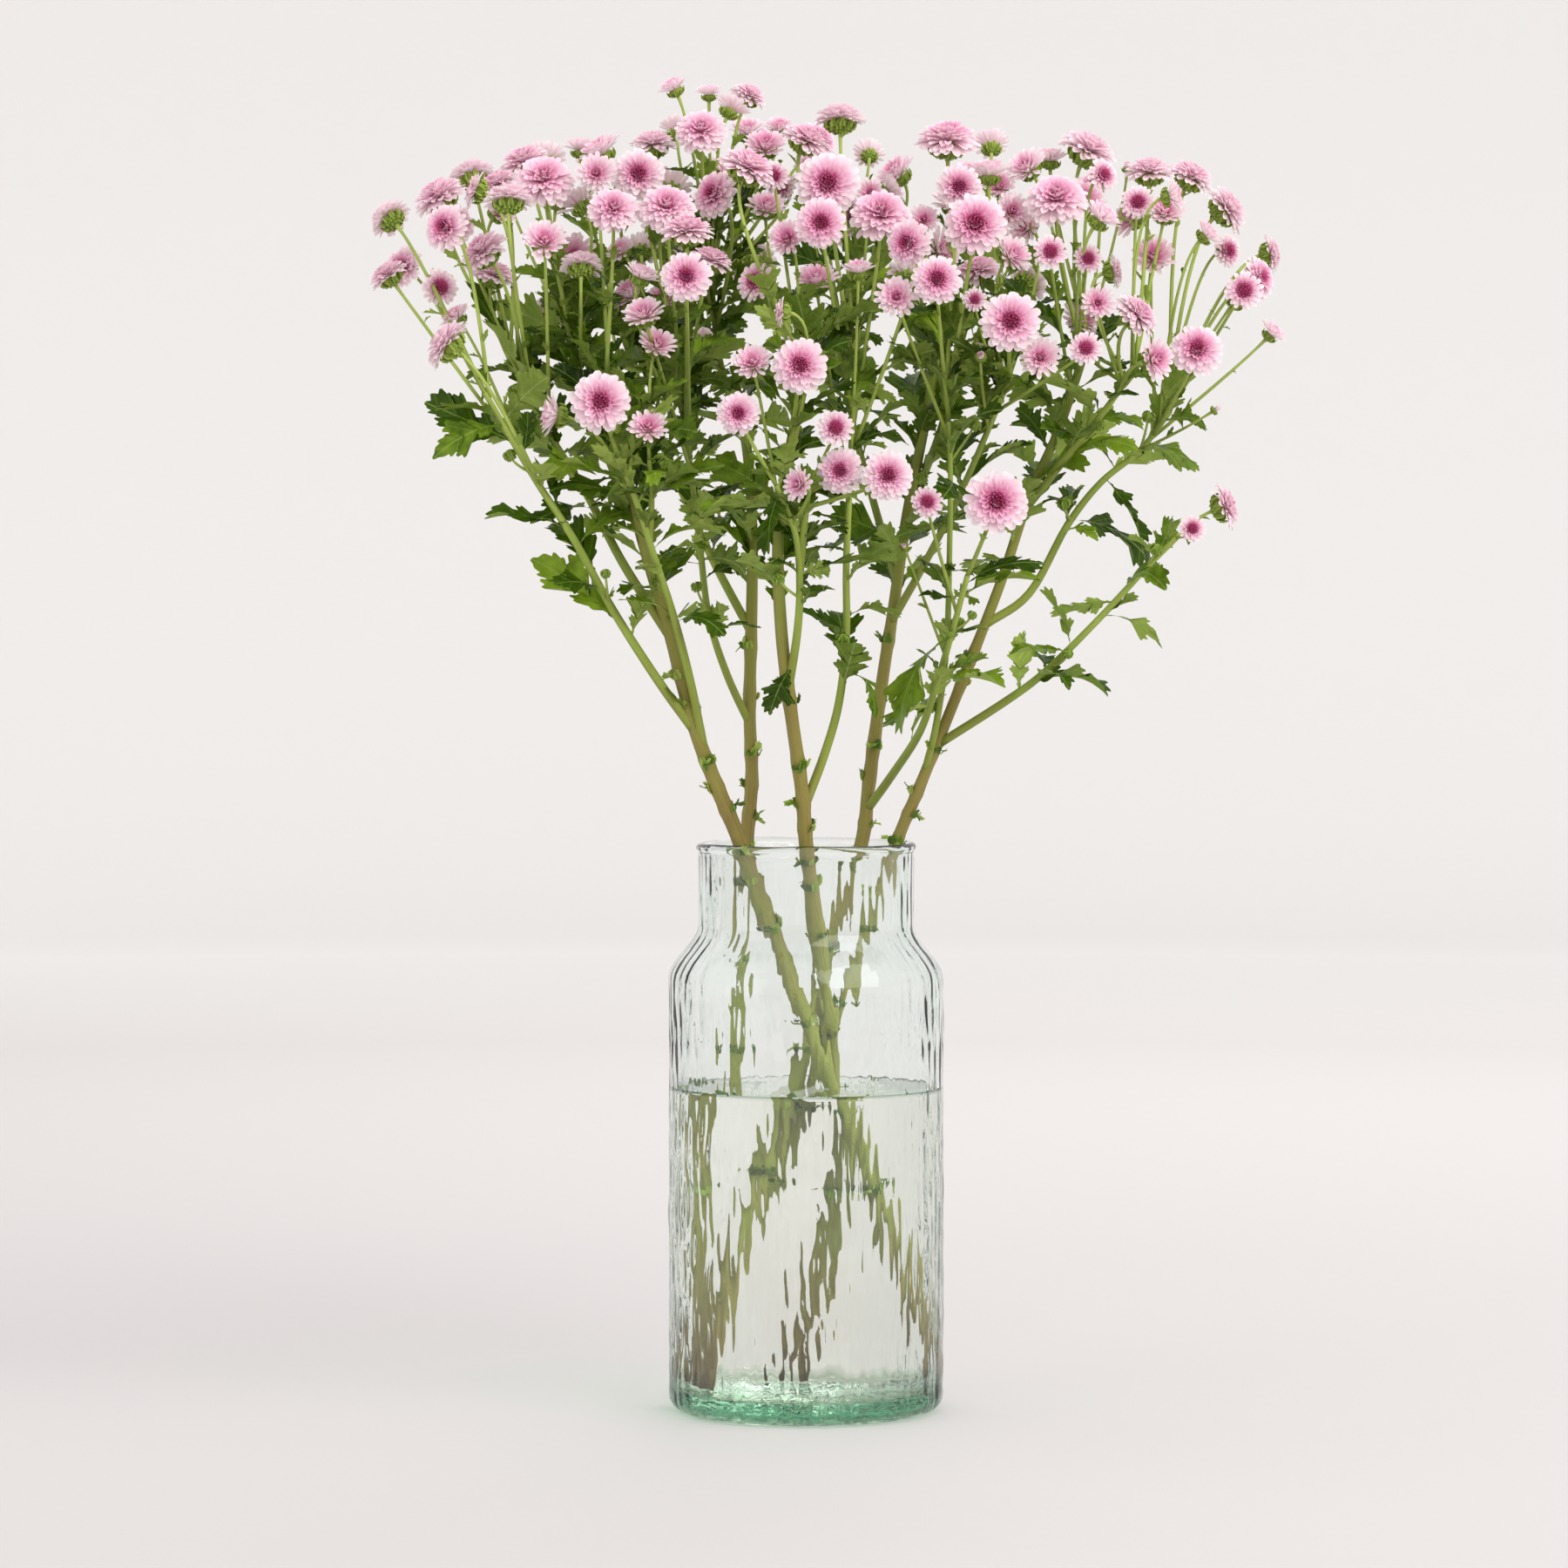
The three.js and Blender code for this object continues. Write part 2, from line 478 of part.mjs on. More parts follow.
function leafGeometry([bearer, share, around, up, length]) {
  const width = length * LEAF_HALF_WIDTH;
  const right = halfLeaf.map(([x, y]) => new THREE.Vector2(x * width, y * length));
  const left = halfLeaf.slice(0, -1).reverse().map(([x, y]) => new THREE.Vector2(-x * width, y * length));
  const blade = new THREE.ExtrudeGeometry(new THREE.Shape([...right, ...left]), {
    depth: LEAF_THICK, bevelEnabled: false, steps: 1, curveSegments: 1,
  }).translate(0, 0, -LEAF_THICK / 2);
  const along = heading(around, up);
  const across = heading(around + 90, 0);
  const face = across.clone().cross(along);
  return blade.applyMatrix4(new THREE.Matrix4().makeBasis(across, along, face))
    .translate(...curves[bearer].getPoint(share).toArray());
}

function spiralLeaves() {
  const rows = [];
  for (const [bearer, begin, end, count, first, length] of LEAF_SPIRALS) {
    for (let i = 0; i < count; i += 1) {
      const share = begin + ((end - begin) * i) / (count - 1);
      const up = 32 - 14 * Math.sin(2.1 * i);
      const size = length + 6 * Math.sin(1.7 * i + first);
      rows.push([bearer, share, first + SPIRAL * i, up, size]);
    }
  }
  return rows;
}

const openHeads = HEADS.filter((row) => row[6] !== "joined");
const leafRows = [...LEAVES, ...spiralLeaves()];

function buildStem(name) {
  let solid = toSolid(tubeGeometry(curves[name], STEMS[name].radius, STEM_SIDES, STEM_STEPS));
  for (const [shoot, { stem, radius }] of Object.entries(SHOOTS)) {
    if (stem === name) solid = solid.add(toSolid(tubeGeometry(curves[shoot], radius, SHOOT_SIDES, 5)));
  }
  for (const row of HEADS) {
    if (stemOf(row[0]) !== name) continue;
    solid = solid.add(toSolid(tubeGeometry(pedicelCurve(row), PEDICEL_RADIUS, PEDICEL_SIDES, 2)));
    if (row[6] === "joined") solid = solid.add(toSolid(headGeometry(row)));
  }
  for (const row of leafRows) {
    if (stemOf(row[0]) === name) solid = solid.add(toSolid(leafGeometry(row)));
  }
  return new THREE.Mesh(toGeometry(solid.asOriginal().simplify(JOIN_TOLERANCE)), leafyMaterial);
}

// ---- the whole bouquet ----------------------------------------------------------------------

const bouquet = new THREE.Group();

function place(name, mesh) {
  mesh.name = name;
  bouquet.add(mesh);
}

place("vase", buildVase());
place("water", buildWater());
for (const name of Object.keys(STEMS)) place(name, buildStem(name));
openHeads.forEach((row, i) => {
  const mesh = new THREE.Mesh(weld(headGeometry(row)), petalMaterial);
  place(`flower_${String(i + 1).padStart(2, "0")}`, mesh);
});

export default bouquet;
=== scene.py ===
import math
import random

import bmesh
import bpy
import numpy as np
from mathutils import Color, Matrix, Vector, noise


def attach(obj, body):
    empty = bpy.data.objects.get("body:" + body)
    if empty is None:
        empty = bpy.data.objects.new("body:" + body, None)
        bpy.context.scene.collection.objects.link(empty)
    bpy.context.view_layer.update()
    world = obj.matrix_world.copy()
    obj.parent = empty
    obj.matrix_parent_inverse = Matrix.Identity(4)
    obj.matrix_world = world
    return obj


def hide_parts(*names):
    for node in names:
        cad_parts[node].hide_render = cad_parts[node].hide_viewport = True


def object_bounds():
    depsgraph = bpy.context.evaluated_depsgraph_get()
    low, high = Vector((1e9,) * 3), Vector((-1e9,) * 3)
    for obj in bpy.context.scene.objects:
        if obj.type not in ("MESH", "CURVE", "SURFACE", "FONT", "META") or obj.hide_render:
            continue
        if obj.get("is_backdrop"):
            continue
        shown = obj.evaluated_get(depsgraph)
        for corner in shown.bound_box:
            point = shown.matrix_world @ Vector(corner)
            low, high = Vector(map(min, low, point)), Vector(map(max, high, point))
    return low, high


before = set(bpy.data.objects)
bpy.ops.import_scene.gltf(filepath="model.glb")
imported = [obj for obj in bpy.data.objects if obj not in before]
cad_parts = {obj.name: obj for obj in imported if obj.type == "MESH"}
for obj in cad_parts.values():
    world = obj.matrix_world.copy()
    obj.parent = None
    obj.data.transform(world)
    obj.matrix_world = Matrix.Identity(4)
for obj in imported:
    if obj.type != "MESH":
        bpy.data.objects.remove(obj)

# A bouquet of spray chrysanthemums in a rippled glass vase, dressed around its solids.
# Lengths are millimetres, as in the part's own source, and MM turns them into metres. EDGE, the finishes, the
# paint, the lamps and the camera are in metres.

cad_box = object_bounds()

MM = 0.001
EDGE = 0.0002  # kept free inside the solids' own box
ROOM = np.array(cad_box[0]) + EDGE, np.array(cad_box[1]) - EDGE
SPIRAL = 137.5  # degrees round from one leaf, leaf scar or floret to the next

BODY_RADIUS = 60
NECK_RADIUS = 47
VASE_HEIGHT = 250
SHOULDER_LOW = 190  # the heights where the shoulder begins and ends
SHOULDER_HIGH = 213
WALL = 3.4
FLOOR = 9
CORNER_RADIUS = 7
WATER_LEVEL = 142

CAMERA_AT = (-0.0097, -2.564, 0.366)
CAMERA_LENS = 134.6
CAMERA_PITCH = 2.04  # degrees below the horizon

PEDICEL_RADIUS = 0.9
PEDICEL_BEND = 16  # over how long a stretch at most it turns to face as its head does
HEAD_BELOW = 0.3  # how far below its petals a head's cup ends, as a share of its diameter
JOIN_DEPTH = 1  # how deep the pedicel stands in the cup

# ---------------------------------------------------------------- routes, heads and leaves

# Each main stem: its radius, and points from its cut end on the vase floor to its top.
STEMS = {
    "stem_left_front": (3.5, [
        (43, 19, 11.2), (27, 6, 80), (10, -8, 145), (-16, -22, 215), (-28, -28, 249), (-40, -33, 278),
        (-49, -37, 303), (-59, -41, 342), (-70, -44, 380), (-80, -46, 420), (-86, -44, 452),
    ]),
    "stem_left_back": (3.2, [
        (-38, -8, 11), (-36, 5, 80), (-32, 16, 145), (-27, 26, 215), (-26, 29, 249), (-24, 37, 276),
        (-25, 43, 307), (-24, 50, 355), (-24, 55, 388), (-26, 58, 420), (-32, 58, 455),
    ]),
    "stem_center": (3.3, [
        (-4, 40, 11), (7, 20.5, 80), (12, 0, 145), (4, -26, 215), (0, -39, 249), (-2, -46, 274),
        (-7, -54, 310), (-11, -60, 345), (-12, -65, 385), (-6, -63, 425), (2, -54, 462),
    ]),
    "stem_right_back": (3.2, [
        (-38, -20, 11.2), (-21, -7, 80), (-4, 7, 145), (15, 23, 215), (25, 31, 249), (28, 36, 274),
        (34, 44, 319), (39, 48, 351), (45, 52, 392), (52, 52, 428), (58, 48, 462),
    ]),
    "stem_right": (2.8, [
        (-40, 20, 10.8), (-18, 15, 80), (4, 11, 145), (28.5, 6, 215), (39.6, 3, 249), (50, 4, 274),
        (67, 6, 316), (85, 8, 362), (98, 8, 401), (111, 4, 431), (123, 0, 468),
    ]),
}

# Each side shoot: what bears it, its radius and its points.
SHOOTS = {
    "long_left": ("stem_left_front", 2.1, [
        (-49, -37, 300), (-64, -44, 321), (-83, -50, 351), (-100, -54, 382), (-118, -52, 410),
        (-138, -42, 444),
    ]),
    "left_two": ("stem_left_front", 2.1, [
        (-59, -41, 340), (-79, -36, 371), (-95, -28, 401), (-115, -18, 433), (-130, -10, 464),
    ]),
    "left_three": ("stem_left_front", 1.9, [
        (-70, -44, 381), (-84, -26, 412), (-96, -8, 444), (-104, 4, 472),
    ]),
    "bright_front": ("stem_left_front", 1.9, [
        (-44, -35, 290), (-50, -46, 321), (-57, -56, 349), (-65, -63, 374), (-72, -68, 396),
        (-80, -74, 416),
    ]),
    "bright_twig": ("stem_left_front", 1.5, [
        (-67, -64, 380), (-66, -66, 400), (-67, -70, 415),
    ]),
    "thin_left": ("stem_left_back", 1.8, [
        (-25, 42, 300), (-35, 34, 322), (-43, 26, 348), (-47, 14, 382), (-52, 2, 424), (-56, -8, 462),
    ]),
    "back_left": ("stem_left_back", 2.0, [
        (-24, 48, 340), (-44, 58, 378), (-64, 56, 424), (-82, 42, 474),
    ]),
    "back_top": ("stem_left_back", 1.9, [
        (-26, 58, 424), (-38, 54, 460), (-42, 44, 496),
    ]),
    "center_front": ("stem_center", 1.9, [
        (-8, -55, 316), (-4, -66, 342), (-3, -72, 363), (-5, -76, 384), (-13, -80, 404),
    ]),
    "center_right": ("stem_center", 1.8, [
        (-3, -72, 368), (-1, -76, 388), (1, -76, 404),
    ]),
    "center_long": ("stem_center", 2.0, [
        (-1, -43, 266), (8, -46, 290), (14, -48, 312), (17, -52, 340), (17, -52, 372), (19, -46, 416),
        (21, -36, 462),
    ]),
    "front_right": ("stem_right_back", 2.0, [
        (27, 34, 262), (38, 20, 278), (50, 0, 298), (57, -18, 320), (63, -36, 342), (69, -50, 366),
    ]),
    "green_right": ("stem_right_back", 1.8, [
        (38, 47, 345), (54, 28, 374), (68, 4, 403), (80, -22, 432), (88, -36, 452),
    ]),
    "back_right": ("stem_right_back", 2.0, [
        (45, 52, 392), (60, 64, 430), (70, 62, 470),
    ]),
    "back_middle": ("stem_right_back", 1.9, [
        (41, 49, 362), (30, 62, 400), (20, 66, 440), (16, 58, 480),
    ]),
    "low_right": ("stem_right", 1.9, [
        (58, 5, 292), (87, -6, 311), (104, -12, 324), (126, -18, 346), (147, -24, 369),
        (160, -26, 382),
    ]),
    "second_right": ("stem_right", 1.9, [
        (78, 7, 344), (98, 14, 358), (115, 20, 388), (130, 22, 407), (147, 20, 421), (160, 14, 438),
    ]),
    "third_right": ("stem_right", 1.9, [
        (96, 8, 395), (112, -14, 416), (128, -26, 436), (142, -30, 456),
    ]),
    "inner_right": ("stem_right", 1.6, [
        (52, 4, 280), (57, -4, 302), (61, -12, 335), (62, -22, 375), (62, -32, 415), (60, -40, 448),
    ]),
}

# Each flower head: its bearer, where along it the pedicel leaves, the middle of the petals' rim, its
# diameter, the way it faces round from the front and up, in degrees, and joined where it is one piece with
# its stem.
HEADS = [
    ["long_left", 1.0, [-184, 30, 524], 22, -130, 40],
    ["long_left", 0.86, [-182, -10, 497], 19, -80, 55],
    ["left_two", 1.0, [-161, 5, 532], 25, -60, 55],
    ["left_two", 0.95, [-148, 34, 543], 21, -150, 60, "joined"],
    ["left_two", 0.92, [-144, -14, 533], 18, -90, 20, "joined"],
    ["long_left", 0.98, [-155, -44, 515], 21, -30, 10],
    ["left_two", 0.85, [-140, -26, 506], 23, -60, 45],
    ["left_two", 0.98, [-135, 12, 538], 19, -60, 60, "joined"],
    ["left_three", 1.0, [-125, 34, 549], 23, -40, 60],
    ["left_three", 0.95, [-116, 56, 551], 17, 180, 50, "joined"],
    ["left_three", 0.9, [-114, -8, 538], 27, 0, 40],
    ["left_two", 0.8, [-128, -40, 528], 22, 180, 75],
    ["left_two", 0.7, [-112, -54, 508], 18, 0, 35],
    ["long_left", 0.82, [-152, -10, 478], 13, -60, 50, "joined"],
    ["long_left", 0.75, [-154, -60, 465], 24, -90, 35],
    ["bright_front", 1.0, [-87, -88, 439], 26, 0, 8],
    ["bright_front", 0.85, [-107, -72, 434], 17, -80, 10, "joined"],
    ["bright_twig", 1.0, [-67, -84, 428], 15, 0, 35, "joined"],
    ["bright_twig", 0.6, [-64, -58, 464], 15, 20, 40, "joined"],
    ["left_three", 0.75, [-97, -34, 500], 19, 180, 70, "joined"],
    ["left_three", 0.7, [-110, 32, 484], 22, 180, 60, "joined"],
    ["stem_left_front", 1.0, [-83, -40, 523], 23, 0, 35],
    ["left_three", 0.98, [-99, 0, 528], 17, -120, 50, "joined"],
    ["back_left", 1.0, [-100, 42, 555], 14, 0, 85, "joined"],
    ["back_left", 0.97, [-90, 20, 552], 18, -60, 55, "joined"],
    ["stem_left_front", 0.97, [-91, -14, 540], 16, 0, 10, "joined"],
    ["thin_left", 0.95, [-73, -12, 540], 23, 0, 10],
    ["back_left", 0.93, [-67, 20, 556], 21, 0, 80],
    ["back_top", 0.9, [-57, 44, 563], 15, 180, 60, "joined"],
    ["back_top", 0.85, [-46, 4, 560], 23, 0, 40],
    ["back_top", 0.8, [-60, 34, 536], 18, 180, 30, "joined"],
    ["thin_left", 0.9, [-60, -40, 524], 25, 0, 40],
    ["back_top", 0.7, [-40, -16, 531], 23, -40, 20],
    ["back_top", 1.0, [-18, 34, 555], 17, 0, 50, "joined"],
    ["back_top", 0.98, [-12, 56, 565], 12, 0, 60, "joined"],
    ["back_top", 0.96, [-33, 22, 571], 15, 120, 60, "joined"],
    ["back_top", 0.92, [-25, 44, 579], 20, 60, 60],
    ["back_top", 0.88, [-43, 50, 580], 13, 0, 80, "joined"],
    ["back_top", 0.95, [-58, 20, 580], 15, -60, 60, "joined"],
    ["thin_left", 0.82, [-51, -66, 513], 23, 0, 72],
    ["thin_left", 0.75, [-51, -84, 492], 22, 0, 10],
    ["thin_left", 0.85, [-80, -24, 506], 12, -40, 40, "joined"],
    ["back_left", 0.75, [-72, 12, 508], 15, 180, 30, "joined"],
    ["stem_center", 0.98, [-25, -32, 542], 26, 60, 60],
    ["stem_center", 0.96, [-14, 0, 540], 14, 0, 10, "joined"],
    ["center_long", 1.0, [0, 12, 557], 22, 60, 60],
    ["center_long", 0.98, [15, 20, 567], 23, 180, 80],
    ["back_middle", 1.0, [28, 38, 552], 13, 180, 30, "joined"],
    ["center_long", 0.96, [9, -30, 535], 28, 0, 10],
    ["center_long", 0.9, [6, -62, 516], 22, 0, 5],
    ["center_long", 0.94, [28, 10, 533], 12, 0, 10, "joined"],
    ["back_middle", 0.95, [37, 34, 536], 15, 90, 30, "joined"],
    ["center_long", 0.87, [32, -40, 521], 27, 0, 40],
    ["center_long", 0.84, [43, -66, 507], 21, -30, 5],
    ["inner_right", 0.97, [51, -12, 520], 12, 0, 20, "joined"],
    ["center_long", 0.8, [22, -56, 496], 13, 0, 75, "joined"],
    ["stem_center", 0.93, [-8, -48, 510], 15, -20, 20, "joined"],
    ["stem_center", 0.9, [-11, -84, 477], 13, -90, 5, "joined"],
    ["stem_center", 0.86, [-3, -98, 454], 27, 0, 10],
    ["stem_center", 0.82, [-23, -84, 455], 16, -10, 35, "joined"],
    ["center_front", 1.0, [-29, -94, 434], 21, 0, 8],
    ["center_right", 1.0, [12, -92, 428], 16, 0, 12],
    ["center_right", 0.9, [14, -87, 410], 20, -10, 5],
    ["center_right", 0.7, [34, -96, 408], 25, 0, 10],
    ["center_front", 0.8, [-3, -96, 404], 14, -40, 5, "joined"],
    ["back_right", 1.0, [62, 10, 557], 28, 0, 70],
    ["back_right", 0.95, [82, 38, 556], 15, 180, 50, "joined"],
    ["green_right", 1.0, [80, 10, 542], 17, 0, 80, "joined"],
    ["inner_right", 1.0, [66, -20, 534], 20, 0, 5],
    ["inner_right", 0.95, [72, -52, 516], 27, 0, 15],
    ["green_right", 0.96, [89, -8, 524], 15, 20, 10, "joined"],
    ["green_right", 0.92, [88, -40, 503], 16, 40, 30, "joined"],
    ["inner_right", 0.9, [55, -82, 491], 21, 0, 10],
    ["inner_right", 0.85, [38, -72, 484], 16, 0, 5, "joined"],
    ["green_right", 0.88, [72, -46, 484], 11, 0, 15, "joined"],
    ["green_right", 0.98, [86, -84, 473], 26, 0, 10],
    ["green_right", 0.9, [99, -72, 458], 16, 0, 10, "joined"],
    ["green_right", 0.8, [118, -78, 462], 15, 0, 10, "joined"],
    ["green_right", 0.72, [74, -66, 459], 9, 0, 20, "joined"],
    ["front_right", 1.0, [80, -88, 397], 27, 0, 10],
    ["front_right", 0.86, [51, -78, 397], 14, 0, 10, "joined"],
    ["front_right", 0.7, [42, -44, 378], 6, -20, 40, "joined"],
    ["stem_right", 0.97, [97, 10, 544], 17, -40, 35, "joined"],
    ["stem_right", 1.0, [108, 36, 550], 15, 0, 80, "joined"],
    ["stem_right", 0.98, [108, -22, 529], 28, 0, 45],
    ["stem_right", 0.94, [104, -56, 504], 15, 0, 5, "joined"],
    ["stem_right", 0.95, [121, -38, 502], 13, 0, 5, "joined"],
    ["stem_right", 1.0, [125, 30, 554], 27, 70, 60],
    ["stem_right", 0.99, [129, -6, 540], 15, 30, 10, "joined"],
    ["stem_right", 0.96, [126, -46, 519], 17, 70, 50, "joined"],
    ["stem_right", 0.985, [141, 18, 545], 8, 0, 60, "joined"],
    ["third_right", 1.0, [150, 6, 543], 22, 0, 80],
    ["second_right", 1.0, [169, 12, 541], 22, 70, 60],
    ["second_right", 0.97, [186, 30, 528], 24, 80, 35],
    ["third_right", 0.96, [143, -26, 527], 15, 0, 5, "joined"],
    ["third_right", 0.98, [157, -32, 529], 14, 80, 10, "joined"],
    ["second_right", 0.92, [174, -8, 514], 13, 80, 40, "joined"],
    ["third_right", 0.9, [134, -10, 498], 16, 90, 10, "joined"],
    ["third_right", 0.85, [124, -60, 482], 13, 0, 5, "joined"],
    ["third_right", 0.88, [142, -44, 478], 22, 60, 40],
    ["second_right", 0.94, [189, -26, 489], 17, 0, 5],
    ["second_right", 0.9, [198, 6, 496], 20, 50, 10],
    ["second_right", 0.96, [206, 36, 508], 20, 90, 10],
    ["second_right", 0.85, [204, 10, 472], 14, 70, 45, "joined"],
    ["third_right", 0.8, [148, -60, 458], 16, 40, 5, "joined"],
    ["second_right", 0.88, [168, -38, 463], 23, 0, 20],
    ["second_right", 0.8, [178, -12, 438], 7, 60, 30, "joined"],
    ["low_right", 1.0, [166, -40, 386], 12, 0, 10],
    ["low_right", 0.98, [182, -20, 396], 21, 80, 20],
    # at the back
    ["back_left", 0.9, [-62, 84, 520], 24, 180, 30],
    ["back_top", 0.8, [-24, 92, 506], 25, 175, 25],
    ["back_left", 0.86, [-94, 72, 503], 22, -150, 25, "joined"],
    ["back_middle", 0.96, [12, 86, 524], 23, 170, 35, "joined"],
    ["back_right", 0.8, [46, 98, 499], 26, 170, 20],
    ["back_right", 0.96, [82, 80, 522], 22, 150, 35, "joined"],
    ["back_right", 0.85, [100, 66, 497], 20, 140, 25, "joined"],
    ["back_middle", 0.7, [-4, 100, 468], 20, 180, 15, "joined"],
    ["back_left", 0.7, [-48, 104, 470], 22, -170, 15, "joined"],
    ["back_right", 0.65, [82, 98, 466], 20, 160, 15, "joined"],
]

# Leaves with a place of their own: the bearer, where along it, the way the leaf lies round from the front and
# up, in degrees, and its length.
LEAVES = [
    ["left_two", 0.62, -90, 18, 38], ["left_two", 0.78, -100, 45, 30], ["long_left", 0.62, -80, 5, 33],
    ["long_left", 0.36, -85, 26, 44], ["long_left", 0.48, -110, 35, 36], ["long_left", 0.88, -90, 12, 38],
    ["long_left", 0.05, -60, 50, 15], ["long_left", 0.92, -40, -30, 34], ["left_two", 0.45, -40, -10, 36],
    ["second_right", 0.86, 85, 32, 44], ["second_right", 0.84, 70, -28, 24],
    ["second_right", 0.62, 60, -60, 30], ["second_right", 0.42, 90, -28, 36],
    ["low_right", 0.62, 80, -28, 28], ["low_right", 0.28, 75, -6, 36], ["low_right", 0.26, 0, 80, 24],
    ["low_right", 0.5, -60, 60, 26], ["low_right", 0.85, 110, 30, 22], ["front_right", 0.78, -60, -58, 46],
    ["front_right", 0.5, 20, 35, 26], ["front_right", 0.92, 80, 10, 32], ["center_long", 0.42, 60, -50, 27],
    ["center_front", 0.1, -30, -60, 22], ["center_front", 0.5, 80, 10, 34],
    ["center_front", 0.85, -75, -5, 38], ["center_front", 0.95, -20, -50, 30],
    ["center_long", 0.62, 40, 30, 30], ["bright_front", 0.4, -70, 10, 22],
    ["bright_front", 0.62, 85, 10, 30], ["bright_front", 0.8, -60, 40, 34],
    ["bright_front", 0.9, 60, 55, 40], ["bright_twig", 0.5, 70, 20, 30], ["thin_left", 0.34, 80, 8, 20],
    ["thin_left", 0.55, 60, -20, 28], ["stem_left_back", 0.86, -30, -20, 34],
    ["inner_right", 0.5, 40, -10, 26], ["inner_right", 0.8, 20, 30, 38], ["green_right", 0.5, 60, 30, 34],
    ["green_right", 0.7, -10, 30, 38], ["third_right", 0.3, 60, 10, 34], ["third_right", 0.62, -40, 30, 36],
    ["third_right", 0.9, 40, -10, 28],
]

# Leaves in a spiral: the bearer, the shares of its length where they begin and end, how many there are, the
# way the first one lies, and their length.
LEAF_SPIRALS = [
    ["stem_left_front", 0.74, 0.97, 4, 150, 38],
    ["stem_left_back", 0.7, 0.97, 5, 200, 38],
    ["stem_center", 0.76, 0.97, 4, 100, 36],
    ["stem_right_back", 0.7, 0.97, 5, 160, 38],
    ["stem_right", 0.74, 0.97, 4, 0, 36],
    ["left_three", 0.3, 0.95, 3, 120, 34],
    ["back_left", 0.3, 0.95, 4, 170, 36],
    ["back_top", 0.3, 0.9, 2, 60, 32],
    ["back_middle", 0.3, 0.95, 3, 230, 34],
    ["back_right", 0.3, 0.95, 3, 90, 34],
    ["thin_left", 0.6, 0.95, 2, 300, 32],
]

# ---------------------------------------------------------------- curves and directions


def route(points):
    """The smooth curve through a list of points: a function of the share of the way along it."""
    line = [Vector(p) for p in points]
    line = [2 * line[0] - line[1], *line, 2 * line[-1] - line[-2]]
    spans = len(points) - 1

    def at(share):
        place = min(max(share, 0), 1) * spans
        span = min(int(place), spans - 1)
        t = place - span
        a, b, c, d = line[span : span + 4]
        leave = (c - a) / 2
        arrive = (d - b) / 2
        return (
            (2 * b - 2 * c + leave + arrive) * t**3
            + (3 * c - 3 * b - 2 * leave - arrive) * t**2
            + leave * t
            + b
        )

    return at


def heading(around, up):
    """A direction: around 0 is the front, 90 the right and 180 the back, and up is above level."""
    a = math.radians(around)
    u = math.radians(up)
    return Vector((math.cos(u) * math.sin(a), -math.cos(u) * math.cos(a), math.sin(u)))


def stand(facing, roll=0.0):
    """The three axes of something that faces that way, as the columns of a matrix, z last."""
    side = Vector((0, 0, 1)).cross(facing)
    side = side.normalized() if side.length > 1e-4 else Vector((1, 0, 0))
    axes = Matrix((side, facing.cross(side), facing)).transposed()
    return np.array(axes @ Matrix.Rotation(roll, 3, "Z"))


# The curve of each stem and shoot, and the stem to which each belongs.
BEARERS = {name: route(points) for name, (_, points) in STEMS.items()}
BEARERS.update({name: route(shoot[2]) for name, shoot in SHOOTS.items()})
STEM_OF = {name: name for name in STEMS}
STEM_OF.update({name: shoot[0] for name, shoot in SHOOTS.items()})


def along_bearer(bearer, share):
    """The direction in which a stem or shoot runs at that share of its length."""
    at = BEARERS[bearer]
    return (at(min(share + 0.02, 1)) - at(max(share - 0.02, 0))).normalized()


# ---------------------------------------------------------------- shaping by hand


def start_afresh():
    """Leaves edit mode and deselects everything."""
    if bpy.context.mode != "OBJECT":
        bpy.ops.object.mode_set(mode="OBJECT")
    bpy.ops.object.select_all(action="DESELECT")


def pick_only(piece):
    """Leaves edit mode and selects one piece."""
    start_afresh()
    piece.select_set(True)
    bpy.context.view_layer.objects.active = piece


def enter_edit(piece):
    """Opens one piece in edit mode with nothing selected in it."""
    pick_only(piece)
    bpy.ops.object.mode_set(mode="EDIT")
    bpy.ops.mesh.select_mode(type="VERT")
    bpy.ops.mesh.select_all(action="DESELECT")


def pick_points(piece, wanted):
    """Selects the points that pass a test."""
    mesh = bmesh.from_edit_mesh(piece.data)
    mesh.verts.ensure_lookup_table()
    for v in mesh.verts:
        v.select = bool(wanted(v))
    mesh.select_flush_mode()
    bmesh.update_edit_mesh(piece.data)


def pick_edges(piece, wanted):
    """Selects the edges whose two ends pass a test."""
    bpy.ops.mesh.select_mode(type="EDGE")
    mesh = bmesh.from_edit_mesh(piece.data)
    for e in mesh.edges:
        e.select_set(bool(wanted(e.verts[0].co, e.verts[1].co)))
    bmesh.update_edit_mesh(piece.data)


def scale_picked(x=1.0, y=1.0, z=1.0, about=(0, 0, 0)):
    """Scales what is selected on each axis, about a point."""
    bpy.ops.transform.resize(value=(x, y, z), center_override=about)


def move_picked(x=0.0, y=0.0, z=0.0):
    """Moves what is selected."""
    bpy.ops.transform.translate(value=(x, y, z))


def add_blade(name, columns, rows):
    """A flat blank one wide and one long, lying from its foot at the origin along +y."""
    start_afresh()
    bpy.ops.mesh.primitive_grid_add(x_subdivisions=columns, y_subdivisions=rows, size=1)
    blade = bpy.context.object
    blade.name = name
    enter_edit(blade)
    bpy.ops.mesh.select_all(action="SELECT")
    move_picked(y=0.5)
    return blade


